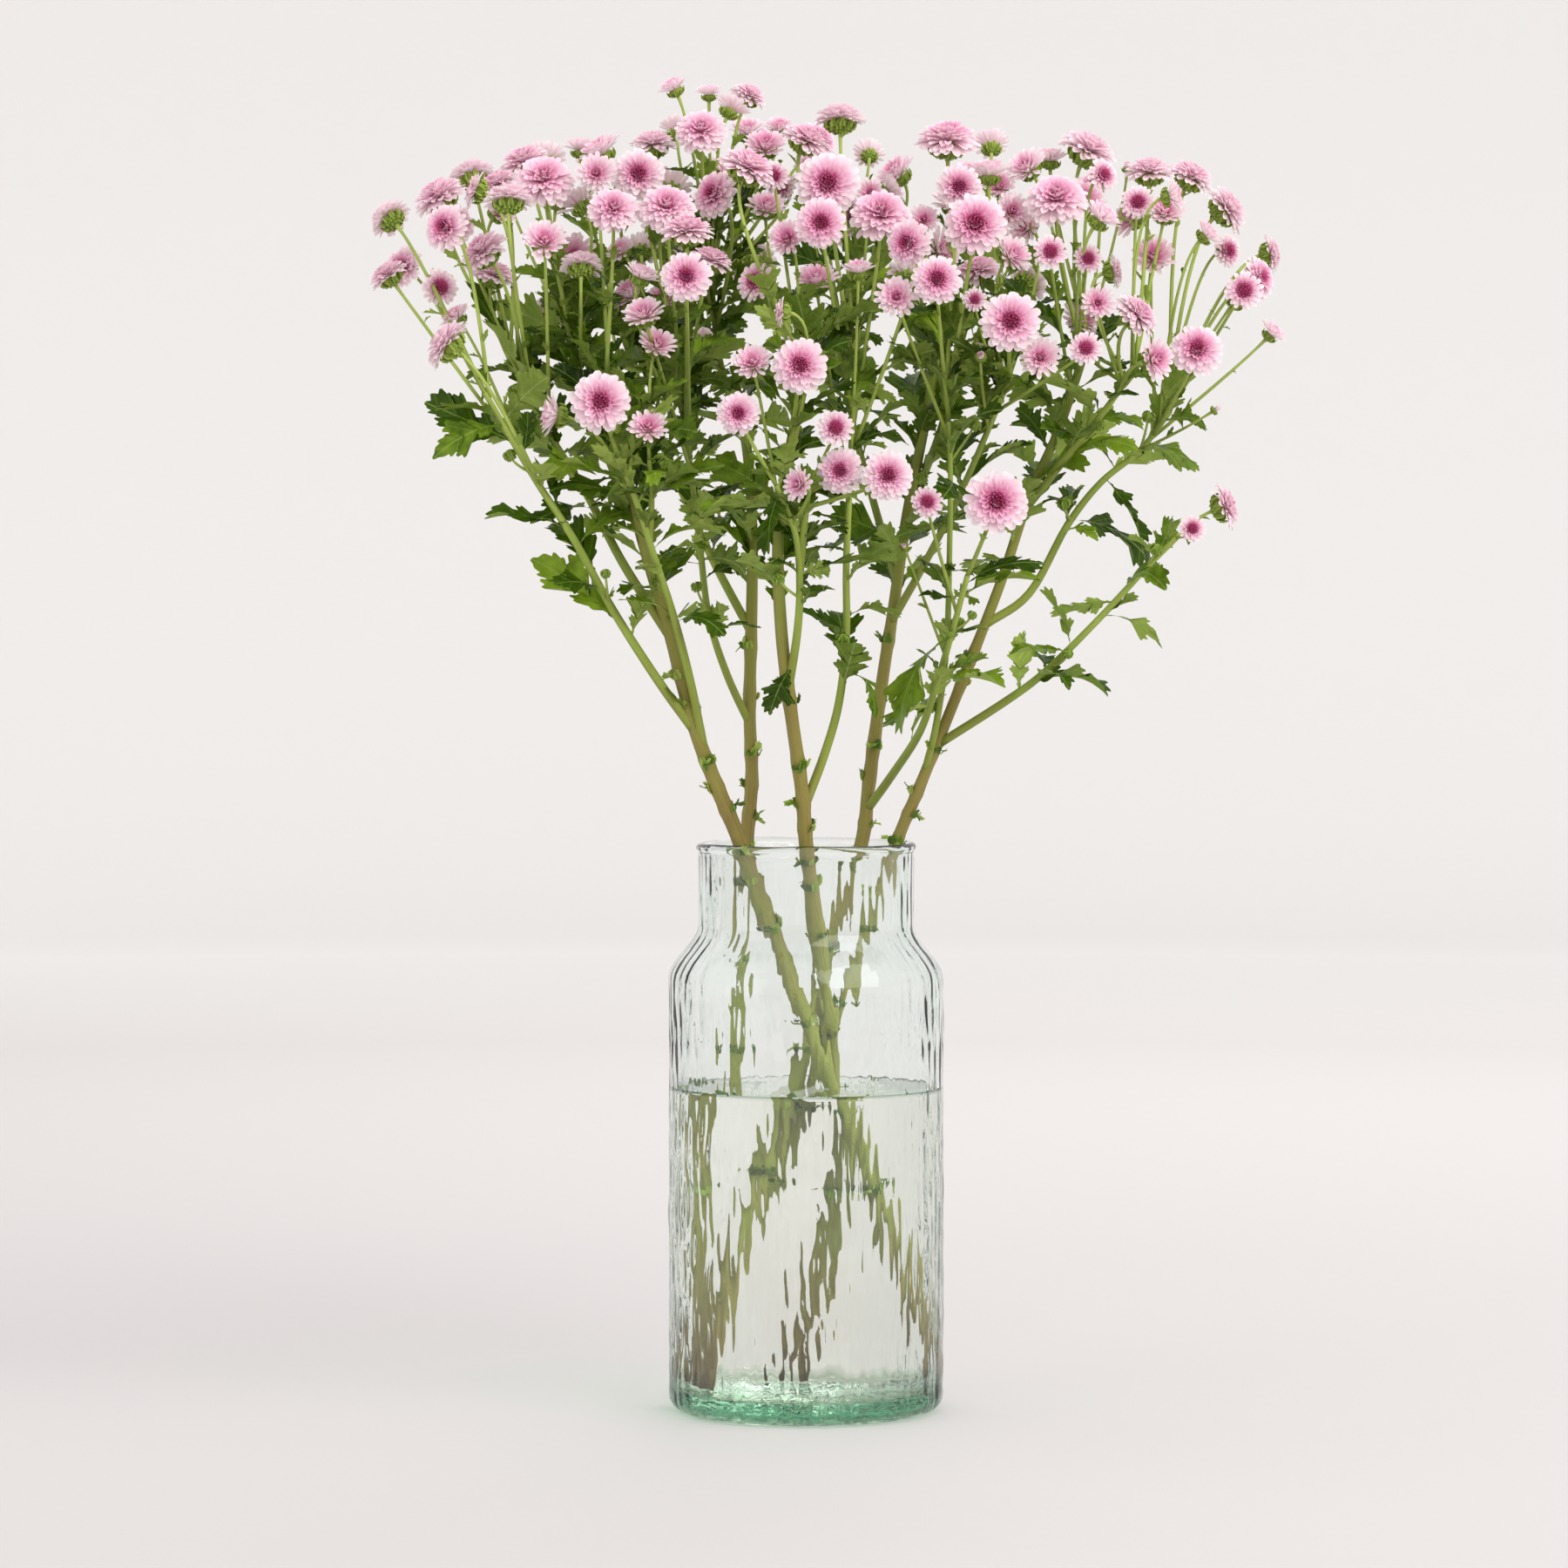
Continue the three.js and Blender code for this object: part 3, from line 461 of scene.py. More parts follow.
def shape_blade(blade, columns, outline, cup):
    """Gives each row of a blank its place along, its half width, and how far its two ends reach forward.

    cup raises the edges, as a share of the half width there."""
    rows = len(outline) - 1
    wide = columns + 1
    for i, (along, half_width, reach) in enumerate(outline):
        for column in range(columns // 2):
            share = 1 - 2 * column / columns
            ends = (i * wide + column, i * wide + columns - column)
            pick_points(blade, lambda v: v.index in ends)
            move_picked(y=reach * share**1.4, z=cup * half_width * share**2)
        pick_points(blade, lambda v: v.index // wide == i)
        scale_picked(x=2 * half_width)
        move_picked(y=along - i / rows)


def finish_piece(piece):
    """Leaves edit mode with the piece's place in its mesh."""
    pick_only(piece)
    bpy.ops.object.transform_apply(location=True, rotation=True, scale=True)
    return piece


# ---------------------------------------------------------------- many copies in one piece


class Shape:
    """A small modelled shape, kept as plain arrays so that it can be copied many times."""

    def __init__(self, piece):
        mesh = piece.data
        self.points = np.empty(len(mesh.vertices) * 3)
        mesh.vertices.foreach_get("co", self.points)
        self.points = self.points.reshape(-1, 3)
        self.corners = np.empty(len(mesh.loops), np.int32)
        mesh.loops.foreach_get("vertex_index", self.corners)
        self.sizes = np.empty(len(mesh.polygons), np.int32)
        mesh.polygons.foreach_get("loop_total", self.sizes)
        self.slots = np.empty(len(mesh.polygons), np.int32)
        mesh.polygons.foreach_get("material_index", self.slots)
        self.uv = np.empty(len(mesh.loops) * 2)
        mesh.uv_layers.active.data.foreach_get("uv", self.uv)
        bpy.data.objects.remove(piece)


class Bunch:
    """Copies of shapes gathered into one piece. Each point keeps a tone of three numbers for its finish."""

    def __init__(self):
        self.points, self.corners, self.sizes, self.slots, self.uv, self.tones = [], [], [], [], [], []
        self.count = 0

    def add(self, shape, points, tone, slot=0):
        """tone is one triple, or one for each point. slot is added to the shape's own material numbers."""
        self.points.append(points)
        self.corners.append(shape.corners + self.count)
        self.sizes.append(shape.sizes)
        self.slots.append(shape.slots + slot)
        self.uv.append(shape.uv)
        self.tones.append(np.broadcast_to(np.asarray(tone, float), (len(points), 3)))
        self.count += len(points)

    def make(self, name, materials):
        """Makes the piece, held inside the room for the bouquet."""
        mesh = bpy.data.meshes.new(name)
        points = np.clip(np.concatenate(self.points), *ROOM)
        corners = np.concatenate(self.corners)
        sizes = np.concatenate(self.sizes)
        mesh.vertices.add(len(points))
        mesh.vertices.foreach_set("co", points.ravel())
        mesh.loops.add(len(corners))
        mesh.loops.foreach_set("vertex_index", corners)
        mesh.polygons.add(len(sizes))
        mesh.polygons.foreach_set("loop_start", np.cumsum(sizes) - sizes)
        mesh.polygons.foreach_set("material_index", np.concatenate(self.slots))
        mesh.polygons.foreach_set("use_smooth", np.full(len(sizes), True))
        mesh.uv_layers.new(name="UVMap").data.foreach_set("uv", np.concatenate(self.uv))
        tones = mesh.attributes.new("tone", "FLOAT_COLOR", "POINT")
        colours = np.ones((len(points), 4))
        colours[:, :3] = np.concatenate(self.tones)
        tones.data.foreach_set("color", colours.ravel())
        mesh.update(calc_edges=True)
        for material in materials:
            mesh.materials.append(material)
        piece = bpy.data.objects.new(name, mesh)
        bpy.context.scene.collection.objects.link(piece)
        return piece


def make_for_stems(bunches, kind, materials):
    """Makes one piece of each stem's bunch, named for its kind, that stands for the stem it grows on."""
    for stem, bunch in bunches.items():
        piece = bunch.make(stem.replace("stem", kind), materials)
        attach(piece, "root")
        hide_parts(stem)


def curl(points, turn, side_turn=0.0):
    """Rolls a blade up along its length by turn radians from foot to tip, and twists it about its length."""
    x, y, z = points.T
    if side_turn:
        a = side_turn * y
        x, z = x * np.cos(a) + z * np.sin(a), z * np.cos(a) - x * np.sin(a)
    if abs(turn) > 1e-3:
        a = turn * y
        y, z = np.sin(a) / turn - z * np.sin(a), (1 - np.cos(a)) / turn + z * np.cos(a)
    return np.stack([x, y, z], 1)


def tip_up(points, angle):
    """Turns points about x, so that +y rises by that angle in radians."""
    x, y, z = points.T
    c, s = math.cos(angle), math.sin(angle)
    return np.stack([x, y * c - z * s, y * s + z * c], 1)


def spin_round(points, angle):
    """Turns points about z by that angle in radians."""
    x, y, z = points.T
    c, s = math.cos(angle), math.sin(angle)
    return np.stack([x * c - y * s, x * s + y * c, z], 1)


# ---------------------------------------------------------------- finishes


def shade(red, green, blue):
    """A colour given as on a paint chart, 0 to 255, in the scene's own light values."""
    return (*Color((red / 255, green / 255, blue / 255)).from_srgb_to_scene_linear(), 1)


class Finish:
    """A material and the short ways to add nodes to it."""

    def __init__(self, name):
        self.material = bpy.data.materials.new(name)
        self.material.use_nodes = True
        self.tree = self.material.node_tree
        self.tree.nodes.clear()
        self.output = self.tree.nodes.new("ShaderNodeOutputMaterial")

    def node(self, kind, sockets=(), **settings):
        """Adds a node; a socket's value is a plain value or another node's output."""
        made = self.tree.nodes.new("ShaderNode" + kind)
        for name, value in settings.items():
            setattr(made, name, value)
        for name, value in dict(sockets).items():
            if isinstance(value, bpy.types.NodeSocket):
                self.tree.links.new(value, made.inputs[name])
            else:
                made.inputs[name].default_value = value
        return made

    def ramp(self, value, *stops):
        """A colour for each value, through the stops (place, colour)."""
        node = self.node("ValToRGB", {"Fac": value})
        elements = node.color_ramp.elements
        for place, colour in stops[1:-1]:
            elements.new(place).color = colour
        elements[0].position, elements[0].color = stops[0]
        elements[-1].position, elements[-1].color = stops[-1]
        return node.outputs["Color"]

    def math(self, operation, first, second=0.0):
        """The outcome of one operation on two numbers."""
        return self.node("Math", {0: first, 1: second}, operation=operation).outputs[0]

    def add(self, first, second):
        return self.math("ADD", first, second)

    def times(self, first, second):
        return self.math("MULTIPLY", first, second)

    def swing(self, value, amount, middle=0.5):
        """How far a value lies from its middle, times an amount."""
        return self.times(self.math("SUBTRACT", value, middle), amount)

    def blend(self, share, first, second):
        """A mix of two colours."""
        return self.node("Mix", {0: share, 6: first, 7: second}, data_type="RGBA").outputs[2]

    def tones(self):
        """The three numbers that each point keeps for its finish, as Red, Green and Blue."""
        tone = self.node("Attribute", attribute_name="tone").outputs["Color"]
        return self.node("SeparateColor", {"Color": tone}).outputs

    def height(self, place):
        """How high the place is."""
        return self.node("SeparateXYZ", {"Vector": place}).outputs["Z"]

    def reach(self, place):
        """How far the place is from the upright axis."""
        flat = self.node("VectorMath", {0: place, 1: (1, 1, 0)}, operation="MULTIPLY").outputs["Vector"]
        return self.node("VectorMath", {0: flat}, operation="LENGTH").outputs["Value"]

    def noise(self, place, scale, detail=3.0, stretch=None):
        """Soft mottling, finer with scale. stretch scales the place on each axis first."""
        if stretch:
            place = self.node("Mapping", {"Vector": place, "Scale": stretch}).outputs[0]
        made = self.node("TexNoise", {"Vector": place, "Scale": scale, "Detail": detail})
        return made.outputs["Fac"]

    def bump(self, height, strength, distance):
        """The normal of a surface that rises with height."""
        return self.node("Bump", {"Height": height, "Strength": strength, "Distance": distance}).outputs[0]

    def solid(self, sockets):
        """Finishes the material with one plain surface."""
        face = self.node("BsdfPrincipled", sockets)
        return self.surface(face.outputs[0])

    def thin(self, sockets, share, behind):
        """Finishes a thin sheet that lets a share of the light through, in the colour that it has behind."""
        face = self.node("BsdfPrincipled", sockets)
        through = self.node("BsdfTranslucent", {"Color": behind, "Normal": sockets["Normal"]})
        return self.mixed(share, face, through)

    def clear(self, sockets, deep_colour, density, lamp_tint):
        """Finishes a clear body that takes on a colour with depth.

        Lamps shine straight through it with a light tint, so that what stands in it is lit."""
        body = self.node("BsdfPrincipled", {**sockets, "Roughness": 0.0, "Transmission Weight": 1.0})
        depth = self.node("VolumeAbsorption", {"Color": deep_colour, "Density": density})
        self.tree.links.new(depth.outputs[0], self.output.inputs["Volume"])
        lit = self.node("BsdfTransparent", {"Color": lamp_tint})
        return self.mixed(self.node("LightPath").outputs["Is Shadow Ray"], body, lit)

    def mixed(self, share, first, second):
        """Gives the material a mix of two surfaces."""
        sockets = {0: share, 1: first.outputs[0], 2: second.outputs[0]}
        return self.surface(self.node("MixShader", sockets).outputs[0])

    def surface(self, shader):
        """Gives the material its surface."""
        self.tree.links.new(shader, self.output.inputs["Surface"])
        return self.material


def petal_finish():
    """Thin pink petals: pale at the tips and behind, deeper towards the heart, with fine veins along them."""
    finish = Finish("petal")
    behind = finish.node("NewGeometry").outputs["Backfacing"]
    tones = finish.tones()
    uv = finish.node("TexCoord").outputs["UV"]
    up_the_petal = finish.node("SeparateXYZ", {"Vector": uv}).outputs["Y"]
    foot = finish.times(finish.math("POWER", finish.math("SUBTRACT", 1.0, up_the_petal), 1.3), 0.36)
    depth = finish.add(tones["Red"], foot)
    veins = finish.noise(uv, 1.0, 2.0, (26.0, 1.2, 1.0))
    depth = finish.add(depth, finish.swing(veins, 0.1))
    depth = finish.add(depth, finish.swing(tones["Green"], 0.09))
    depth = finish.times(depth, finish.math("SUBTRACT", 1.0, finish.times(behind, 0.6)))
    colour = finish.ramp(
        depth,
        (0.0, shade(254, 242, 246)),
        (0.14, shade(252, 228, 237)),
        (0.32, shade(248, 200, 222)),
        (0.5, shade(240, 158, 198)),
        (0.66, shade(222, 104, 158)),
        (0.82, shade(192, 54, 112)),
        (1.0, shade(146, 26, 76)),
    )
    face = {
        "Base Color": colour,
        "Roughness": 0.55,
        "Normal": finish.bump(veins, 0.35, 0.0004),
        "Specular IOR Level": 0.3,
        "Sheen Weight": 0.15,
    }
    return finish.thin(face, 0.32, colour)


def leaf_finish():
    """Leaves: mottled green over, paler and matt under, with a pale midrib and a vein into each lobe."""
    finish = Finish("leaf")
    tones = finish.tones()
    coordinates = finish.node("TexCoord")
    place = coordinates.outputs["Object"]
    under = finish.node("NewGeometry").outputs["Backfacing"]
    uv = finish.node("SeparateXYZ", {"Vector": coordinates.outputs["UV"]})
    across = finish.math("ABSOLUTE", finish.math("SUBTRACT", uv.outputs["X"], 0.5))
    midrib = finish.math("LESS_THAN", across, 0.012)
    slant = finish.math("SUBTRACT", uv.outputs["Y"], finish.times(across, 0.7))
    saw = finish.math("PINGPONG", finish.math("SUBTRACT", slant, 0.13), 0.1)
    lobe_veins = finish.math("POWER", finish.times(saw, 10.0), 14.0)
    veins = finish.math("MAXIMUM", finish.times(lobe_veins, 0.25), finish.times(midrib, 0.45))
    mottle = finish.noise(place, 160.0, 4.0)
    fine = finish.noise(place, 900.0, 3.0)
    share = finish.add(finish.times(mottle, 0.6), finish.times(tones["Red"], 0.75))
    share = finish.math("SUBTRACT", share, 0.21)
    over = finish.ramp(share, (0.0, shade(8, 20, 1)), (0.5, shade(50, 76, 5)), (1.0, shade(140, 166, 46)))
    over = finish.blend(veins, over, shade(140, 164, 84))
    pale = finish.ramp(share, (0.0, shade(68, 90, 18)), (1.0, shade(178, 198, 98)))
    pale = finish.blend(veins, pale, shade(176, 192, 128))
    colour = finish.blend(under, over, pale)
    puckers = finish.noise(place, 210.0, 1.0)
    height = finish.math("SUBTRACT", finish.times(fine, 0.5), veins)
    height = finish.add(height, finish.times(puckers, 5.0))
    roughness = finish.add(finish.times(mottle, 0.25), finish.times(under, 0.2))
    face = {
        "Base Color": colour,
        "Roughness": finish.add(roughness, 0.26),
        "Normal": finish.bump(height, 0.5, 0.0006),
        "Specular IOR Level": 0.16,
    }
    return finish.thin(face, 0.18, finish.blend(0.65, colour, shade(126, 172, 26)))


def stalk_finish():
    """Ribbed stalks: olive brown where old and low, fresh green on shoots, yellow green at the flowers."""
    finish = Finish("stalk")
    tones = finish.tones()
    coordinates = finish.node("TexCoord")
    place = coordinates.outputs["Object"]
    blotches = finish.noise(place, 70.0, 4.0, (1.0, 1.0, 0.35))
    streaks = finish.noise(coordinates.outputs["UV"], 1.0, 3.0, (34.0, 5.0, 1.0))
    age = finish.add(tones["Red"], finish.swing(blotches, 0.5))
    age = finish.add(age, finish.swing(streaks, 0.5))
    colour = finish.ramp(
        age,
        (0.0, shade(106, 84, 50)),
        (0.14, shade(130, 112, 60)),
        (0.28, shade(140, 130, 66)),
        (0.44, shade(138, 140, 64)),
        (0.62, shade(142, 160, 68)),
        (0.82, shade(166, 184, 88)),
        (1.0, shade(180, 198, 102)),
    )
    fine = finish.noise(place, 1100.0, 2.0, (1.0, 1.0, 0.4))
    normal = finish.bump(finish.add(streaks, finish.times(fine, 0.25)), 0.8, 0.0006)
    return finish.solid(
        {"Base Color": colour, "Roughness": 0.4, "Normal": normal, "Specular IOR Level": 0.25},
    )


def cup_finish():
    """The scales under a flower and the torn leaf feet: mid green with yellow-green edges."""
    finish = Finish("cup_green")
    tones = finish.tones()
    coordinates = finish.node("TexCoord")
    uv = finish.node("SeparateXYZ", {"Vector": coordinates.outputs["UV"]})
    edge = finish.math("ABSOLUTE", finish.math("SUBTRACT", uv.outputs["X"], 0.5))
    mottle = finish.noise(coordinates.outputs["Object"], 500.0, 3.0)
    share = finish.add(tones["Red"], finish.swing(edge, 0.7, middle=0.2))
    share = finish.add(share, finish.swing(mottle, 0.5))
    colour = finish.ramp(
        share,
        (0.2, shade(82, 112, 34)),
        (0.6, shade(122, 150, 50)),
        (1.0, shade(174, 192, 92)),
    )
    normal = finish.bump(mottle, 0.4, 0.0004)
    face = {"Base Color": colour, "Roughness": 0.5, "Normal": normal, "Specular IOR Level": 0.35}
    return finish.thin(face, 0.2, colour)


def glass_finish():
    """Clear recycled glass, green where it is thick, with an uneven skin, deep wrinkles in its floor and
    painted shade on its base.
    """
    finish = Finish("green_glass")
    place = finish.node("TexCoord").outputs["Object"]
    skin = finish.noise(place, 120.0, 2.0, (1.0, 1.0, 0.3))
    seeds = finish.noise(place, 420.0, 2.0, (1.0, 1.0, 0.5))
    wrinkles = finish.noise(place, 150.0, 3.0, (1.0, 1.0, 1.8))
    sockets = {"Value": finish.height(place), "From Min": 0.015, "From Max": 0.009}
    low = finish.node("MapRange", sockets).outputs["Result"]
    height = finish.add(skin, finish.times(seeds, 0.2))
    height = finish.add(height, finish.times(finish.times(wrinkles, 9.0), low))
    normal = finish.bump(height, 0.12, 0.0008)
    # Painted shade: from 15 mm down the glass is tinted a darker green, fully below 9 mm, for the darker
    # surroundings that the thick base mirrors.
    colour = finish.blend(low, (1, 1, 1, 1), (0.6, 0.66, 0.56, 1))
    glass = {"Base Color": colour, "IOR": 1.5, "Normal": normal}
    return finish.clear(glass, (0.25, 0.76, 0.56, 1), 18.0, (0.93, 0.97, 0.96, 1))


def water_finish():
    """Vase water, a little yellow from the stems, with painted shade: a dark green line where its still top
    meets the glass, for the meniscus.
    """
    finish = Finish("vase_water")
    place = finish.node("TexCoord").outputs["Object"]
    normal = finish.bump(finish.noise(place, 45.0, 1.0), 0.02, 0.001)
    top = finish.math("GREATER_THAN", finish.height(place), (WATER_LEVEL - 0.5) * MM)
    # Painted shade: the top is near white inside and dark green close to the glass, where the meniscus is.
    outer = finish.math("GREATER_THAN", finish.reach(place), (BODY_RADIUS - 4.6) * MM)
    top_with_painted_meniscus = finish.blend(outer, (0.96, 1.0, 0.96, 1), (0.42, 0.66, 0.54, 1))
    colour = finish.blend(top, (1, 1, 1, 1), top_with_painted_meniscus)
    water = {"Base Color": colour, "IOR": 1.333, "Normal": normal}
    return finish.clear(water, (0.7, 0.64, 0.2, 1), 1.1, (0.97, 0.98, 0.95, 1))


PETAL = petal_finish()
LEAF = leaf_finish()
STALK = stalk_finish()
CUP_GREEN = cup_finish()
GREEN_GLASS = glass_finish()
VASE_WATER = water_finish()


# ---------------------------------------------------------------- petals and flower heads


def model_blade(name, columns, outline, cup, drawn_back=(), by=0.0):
    """A thin shape from a flat blank.

    drawn_back lists the points pulled towards its foot afterwards, each by its row and column."""
    blade = add_blade(name, columns, len(outline) - 1)
    shape_blade(blade, columns, outline, cup)
    if drawn_back:
        pick_points(blade, lambda v: divmod(v.index, columns + 1) in drawn_back)
        move_picked(y=-by)
    return Shape(finish_piece(blade))


def model_petal():
    """A broad petal: a narrow claw, rounded sides and a shallow notch at the tip."""
    outline = [
        (0, 0.12, 0), (0.24, 0.2, 0), (0.5, 0.36, 0), (0.73, 0.48, 0), (0.92, 0.42, -0.03), (1, 0.24, -0.05),
    ]
    return model_blade("petal_blank", 4, outline, cup=0.34, drawn_back=[(5, 2)], by=0.035)


def model_inner_petal():
    """A narrower petal for the rings farther in, folded along its middle."""
    outline = [(0, 0.16, 0), (0.4, 0.3, 0), (0.74, 0.48, 0), (0.93, 0.42, -0.03), (1, 0.2, -0.05)]
    return model_blade("inner_petal_blank", 2, outline, cup=0.5)


def model_quill():
    """A short inner petal with its sides rolled up like a spoon."""
    outline = [(0, 0.3, 0), (0.4, 0.36, 0), (0.78, 0.5, 0), (1, 0.26, -0.06)]
    return model_blade("quill_blank", 2, outline, cup=0.95)


def model_bract():
    """A green scale of the cup under a flower."""
    outline = [(0, 0.5, 0), (0.4, 0.46, 0), (0.78, 0.26, 0), (1, 0.03, 0)]
    return model_blade("bract_blank", 2, outline, cup=-0.5)


def model_floret():
    """One tiny tube of the flower's heart, wider at its five-cornered mouth."""
    start_afresh()
    bpy.ops.mesh.primitive_cone_add(vertices=5, radius1=0.3, radius2=0.5, depth=1, location=(0, 0, 0.5))
    floret = bpy.context.object
    enter_edit(floret)
    pick_points(floret, lambda v: v.co.z > 0.4)
    bpy.ops.mesh.inset(thickness=0.2)
    move_picked(z=-0.28)
    return Shape(finish_piece(floret))


def model_rag():
    """A torn scrap of leaf with a ragged end."""
    outline = [(0, 0.3, 0), (0.35, 0.42, 0.04), (0.62, 0.3, -0.05), (0.8, 0.34, 0.08), (1, 0.14, -0.12)]
    return model_blade("rag_blank", 4, outline, cup=0.25, drawn_back=[(4, 1), (3, 0)], by=0.2)


def model_rod(sides, rings, rib):
    """A straight rod from 0 to 1 up z, with every other edge drawn in so that it is ribbed."""
    start_afresh()
    bpy.ops.mesh.primitive_cylinder_add(vertices=sides, radius=1, depth=1, location=(0, 0, 0.5))
    rod = bpy.context.object
    enter_edit(rod)
    pick_edges(rod, lambda a, b: abs(a.z - b.z) > 0.5)
    bpy.ops.mesh.subdivide(number_cuts=rings - 1)
    bpy.ops.mesh.select_mode(type="VERT")
    step = math.tau / sides
    # An edge may lie half way between two steps, so a quarter step keeps all its points on one side.
    pick_points(rod, lambda v: round(math.atan2(v.co.y, v.co.x) / step - 0.25) % 2 == 1)
    scale_picked(x=1 - rib, y=1 - rib)
    return Shape(finish_piece(rod))


def bend_rod(rod, at, radius_at):
    """The rod's points, laid along a curve with its own radius at each share of the way."""
    levels = np.round(rod.points[:, 2], 4)
    heights = np.unique(levels)
    centres = np.array([at(h) for h in heights])
    ways = np.gradient(centres, axis=0)
    ways /= np.linalg.norm(ways, axis=1)[:, None]
    side = np.cross(ways[0], (0.0, 1.0, 0.0))
    made = np.empty_like(rod.points)
    for height, centre, way in zip(heights, centres, ways):
        side = side - way * side.dot(way)
        side /= np.linalg.norm(side)
        ring = levels == height
        flat = rod.points[ring, :2] * radius_at(height)
        made[ring] = centre + flat[:, :1] * side + flat[:, 1:] * np.cross(way, side)
    return made


PETAL_SHAPE = model_petal()
INNER_PETAL_SHAPE = model_inner_petal()
QUILL_SHAPE = model_quill()
BRACT_SHAPE = model_bract()
FLORET_SHAPE = model_floret()
RAG_SHAPE = model_rag()
CUP_SHAPE = model_rod(10, 5, 0.0)
STEM_ROD = model_rod(14, 84, 0.1)
SHOOT_ROD = model_rod(10, 30, 0.1)
PEDICEL_ROD = model_rod(6, 12, 0.08)

# Rings of petals, from the outside in: how many, how far out they start, their length and half width,
# how steeply they rise in degrees, how far they roll up, and their depth of colour. The head's radius is 1.
OPEN_RINGS = [
    (21, 0.17, 0.83, 0.135, 12, -0.45, 0.0),
    (20, 0.16, 0.75, 0.128, 22, -0.45, 0.05),
    (19, 0.15, 0.64, 0.112, 34, -0.4, 0.14),
    (17, 0.15, 0.51, 0.098, 46, -0.25, 0.27),
    (15, 0.17, 0.38, 0.075, 54, 0.3, 0.42),
    (13, 0.15, 0.28, 0.06, 66, 0.4, 0.54),
]
FULL_RINGS = [
    (21, 0.17, 0.83, 0.132, 2, -0.42, 0.0),
    (20, 0.16, 0.79, 0.125, 14, -0.45, 0.02),
    (20, 0.15, 0.73, 0.115, 27, -0.48, 0.06),
    (18, 0.13, 0.65, 0.108, 39, -0.45, 0.11),
    (16, 0.12, 0.56, 0.101, 52, -0.35, 0.18),
    (13, 0.1, 0.47, 0.085, 64, -0.2, 0.26),
    (10, 0.06, 0.39, 0.065, 77, 0.2, 0.34),
]
YOUNG_RINGS = [
    (17, 0.24, 0.74, 0.125, 18, -0.45, 0.0),
    (16, 0.23, 0.64, 0.118, 31, -0.35, 0.07),
    (15, 0.24, 0.49, 0.095, 45, -0.1, 0.24),
    (14, 0.25, 0.34, 0.07, 60, 0.4, 0.42),
]
HALF_RINGS = [
    (16, 0.24, 0.98, 0.14, 24, 0.05, 0.0),
    (15, 0.22, 0.9, 0.13, 38, 0.0, 0.06),
    (13, 0.19, 0.79, 0.115, 52, -0.05, 0.15),
    (11, 0.14, 0.67, 0.1, 66, 0.0, 0.26),
    (8, 0.08, 0.56, 0.08, 80, 0.2, 0.38),
]
BUD_RINGS = [(9, 0.22, 0.7, 0.15, 74, 0.4, 0.1), (7, 0.14, 0.66, 0.12, 82, 0.3, 0.24)]

# For each way of opening: its rings, then the number of florets in the heart, its radius, height and colour.
STYLES = {
    "open": (OPEN_RINGS, 32, 0.21, 0.2, 0.52),
    "full": (FULL_RINGS, 14, 0.13, 0.32, 0.42),
    "young": (YOUNG_RINGS, 34, 0.27, 0.24, 0.54),
    "half": (HALF_RINGS, 9, 0.14, 0.36, 0.46),
    "bud": (BUD_RINGS, 6, 0.14, 0.3, 0.4),
}
QUILL_BELOW = 0.1  # the half width below which a petal is a quill
PETAL_LENGTHS = (0.9, 1.03)  # the least and the most by which a petal's length and its width are multiplied
PETAL_WIDTHS = (0.88, 1.08)
RING_STEP = 0.03  # how much higher each ring of petals is set
CUP_RADII = (0.13, 0.34, 0.47, 0.52, 0.46, 0.2)  # of the green cup, from its foot up
CUP_LOW = -0.6  # how high its foot and its top lie from the middle of the head
CUP_HIGH = -0.06
BRACT_RISE = 52  # degrees
# Rings of scales on the cup: how many, how far up it, their length and their half width.
BRACT_RINGS = [(8, 0.05, 0.3, 0.1), (9, 0.2, 0.34, 0.11), (10, 0.36, 0.34, 0.11)]
HEAD_GROWTH = 1.08  # how much fuller the petals stand than the plain solid of the head
HEAD_LEAST = 0.94


def cup_radius(height):
    """The radius of the green cup at a share of its height."""
    place = min(max(height, 0), 1) * (len(CUP_RADII) - 1)
    low = min(int(place), len(CUP_RADII) - 2)
    return CUP_RADII[low] + (CUP_RADII[low + 1] - CUP_RADII[low]) * (place - low)


def add_petals(put, rings, warmth, chance):
    """The rings of petals of a head."""
    for ring, (count, base, length, half_width, rise, roll, depth) in enumerate(rings):
        start = chance.uniform(0, 1)
        for i in range(count):
            size = length * chance.uniform(*PETAL_LENGTHS)
            wide = 2 * half_width * chance.uniform(*PETAL_WIDTHS) / size
            shape = INNER_PETAL_SHAPE if ring > 1 else PETAL_SHAPE
            if half_width < QUILL_BELOW:
                shape = QUILL_SHAPE
            points = shape.points * (wide, 1, wide)
            points = curl(points, roll + chance.gauss(0, 0.14), chance.gauss(0, 0.16))
            points = tip_up(points * size, math.radians(rise + chance.gauss(0, 4)))
            points[:, 1] += base
            points[:, 2] += CUP_HIGH - 2 * RING_STEP + RING_STEP * ring
            turn = math.tau * (i + start) / count + chance.gauss(0, 0.05)
            tone = (depth + warmth, chance.random(), 0)
            put(shape, spin_round(points, turn), tone)


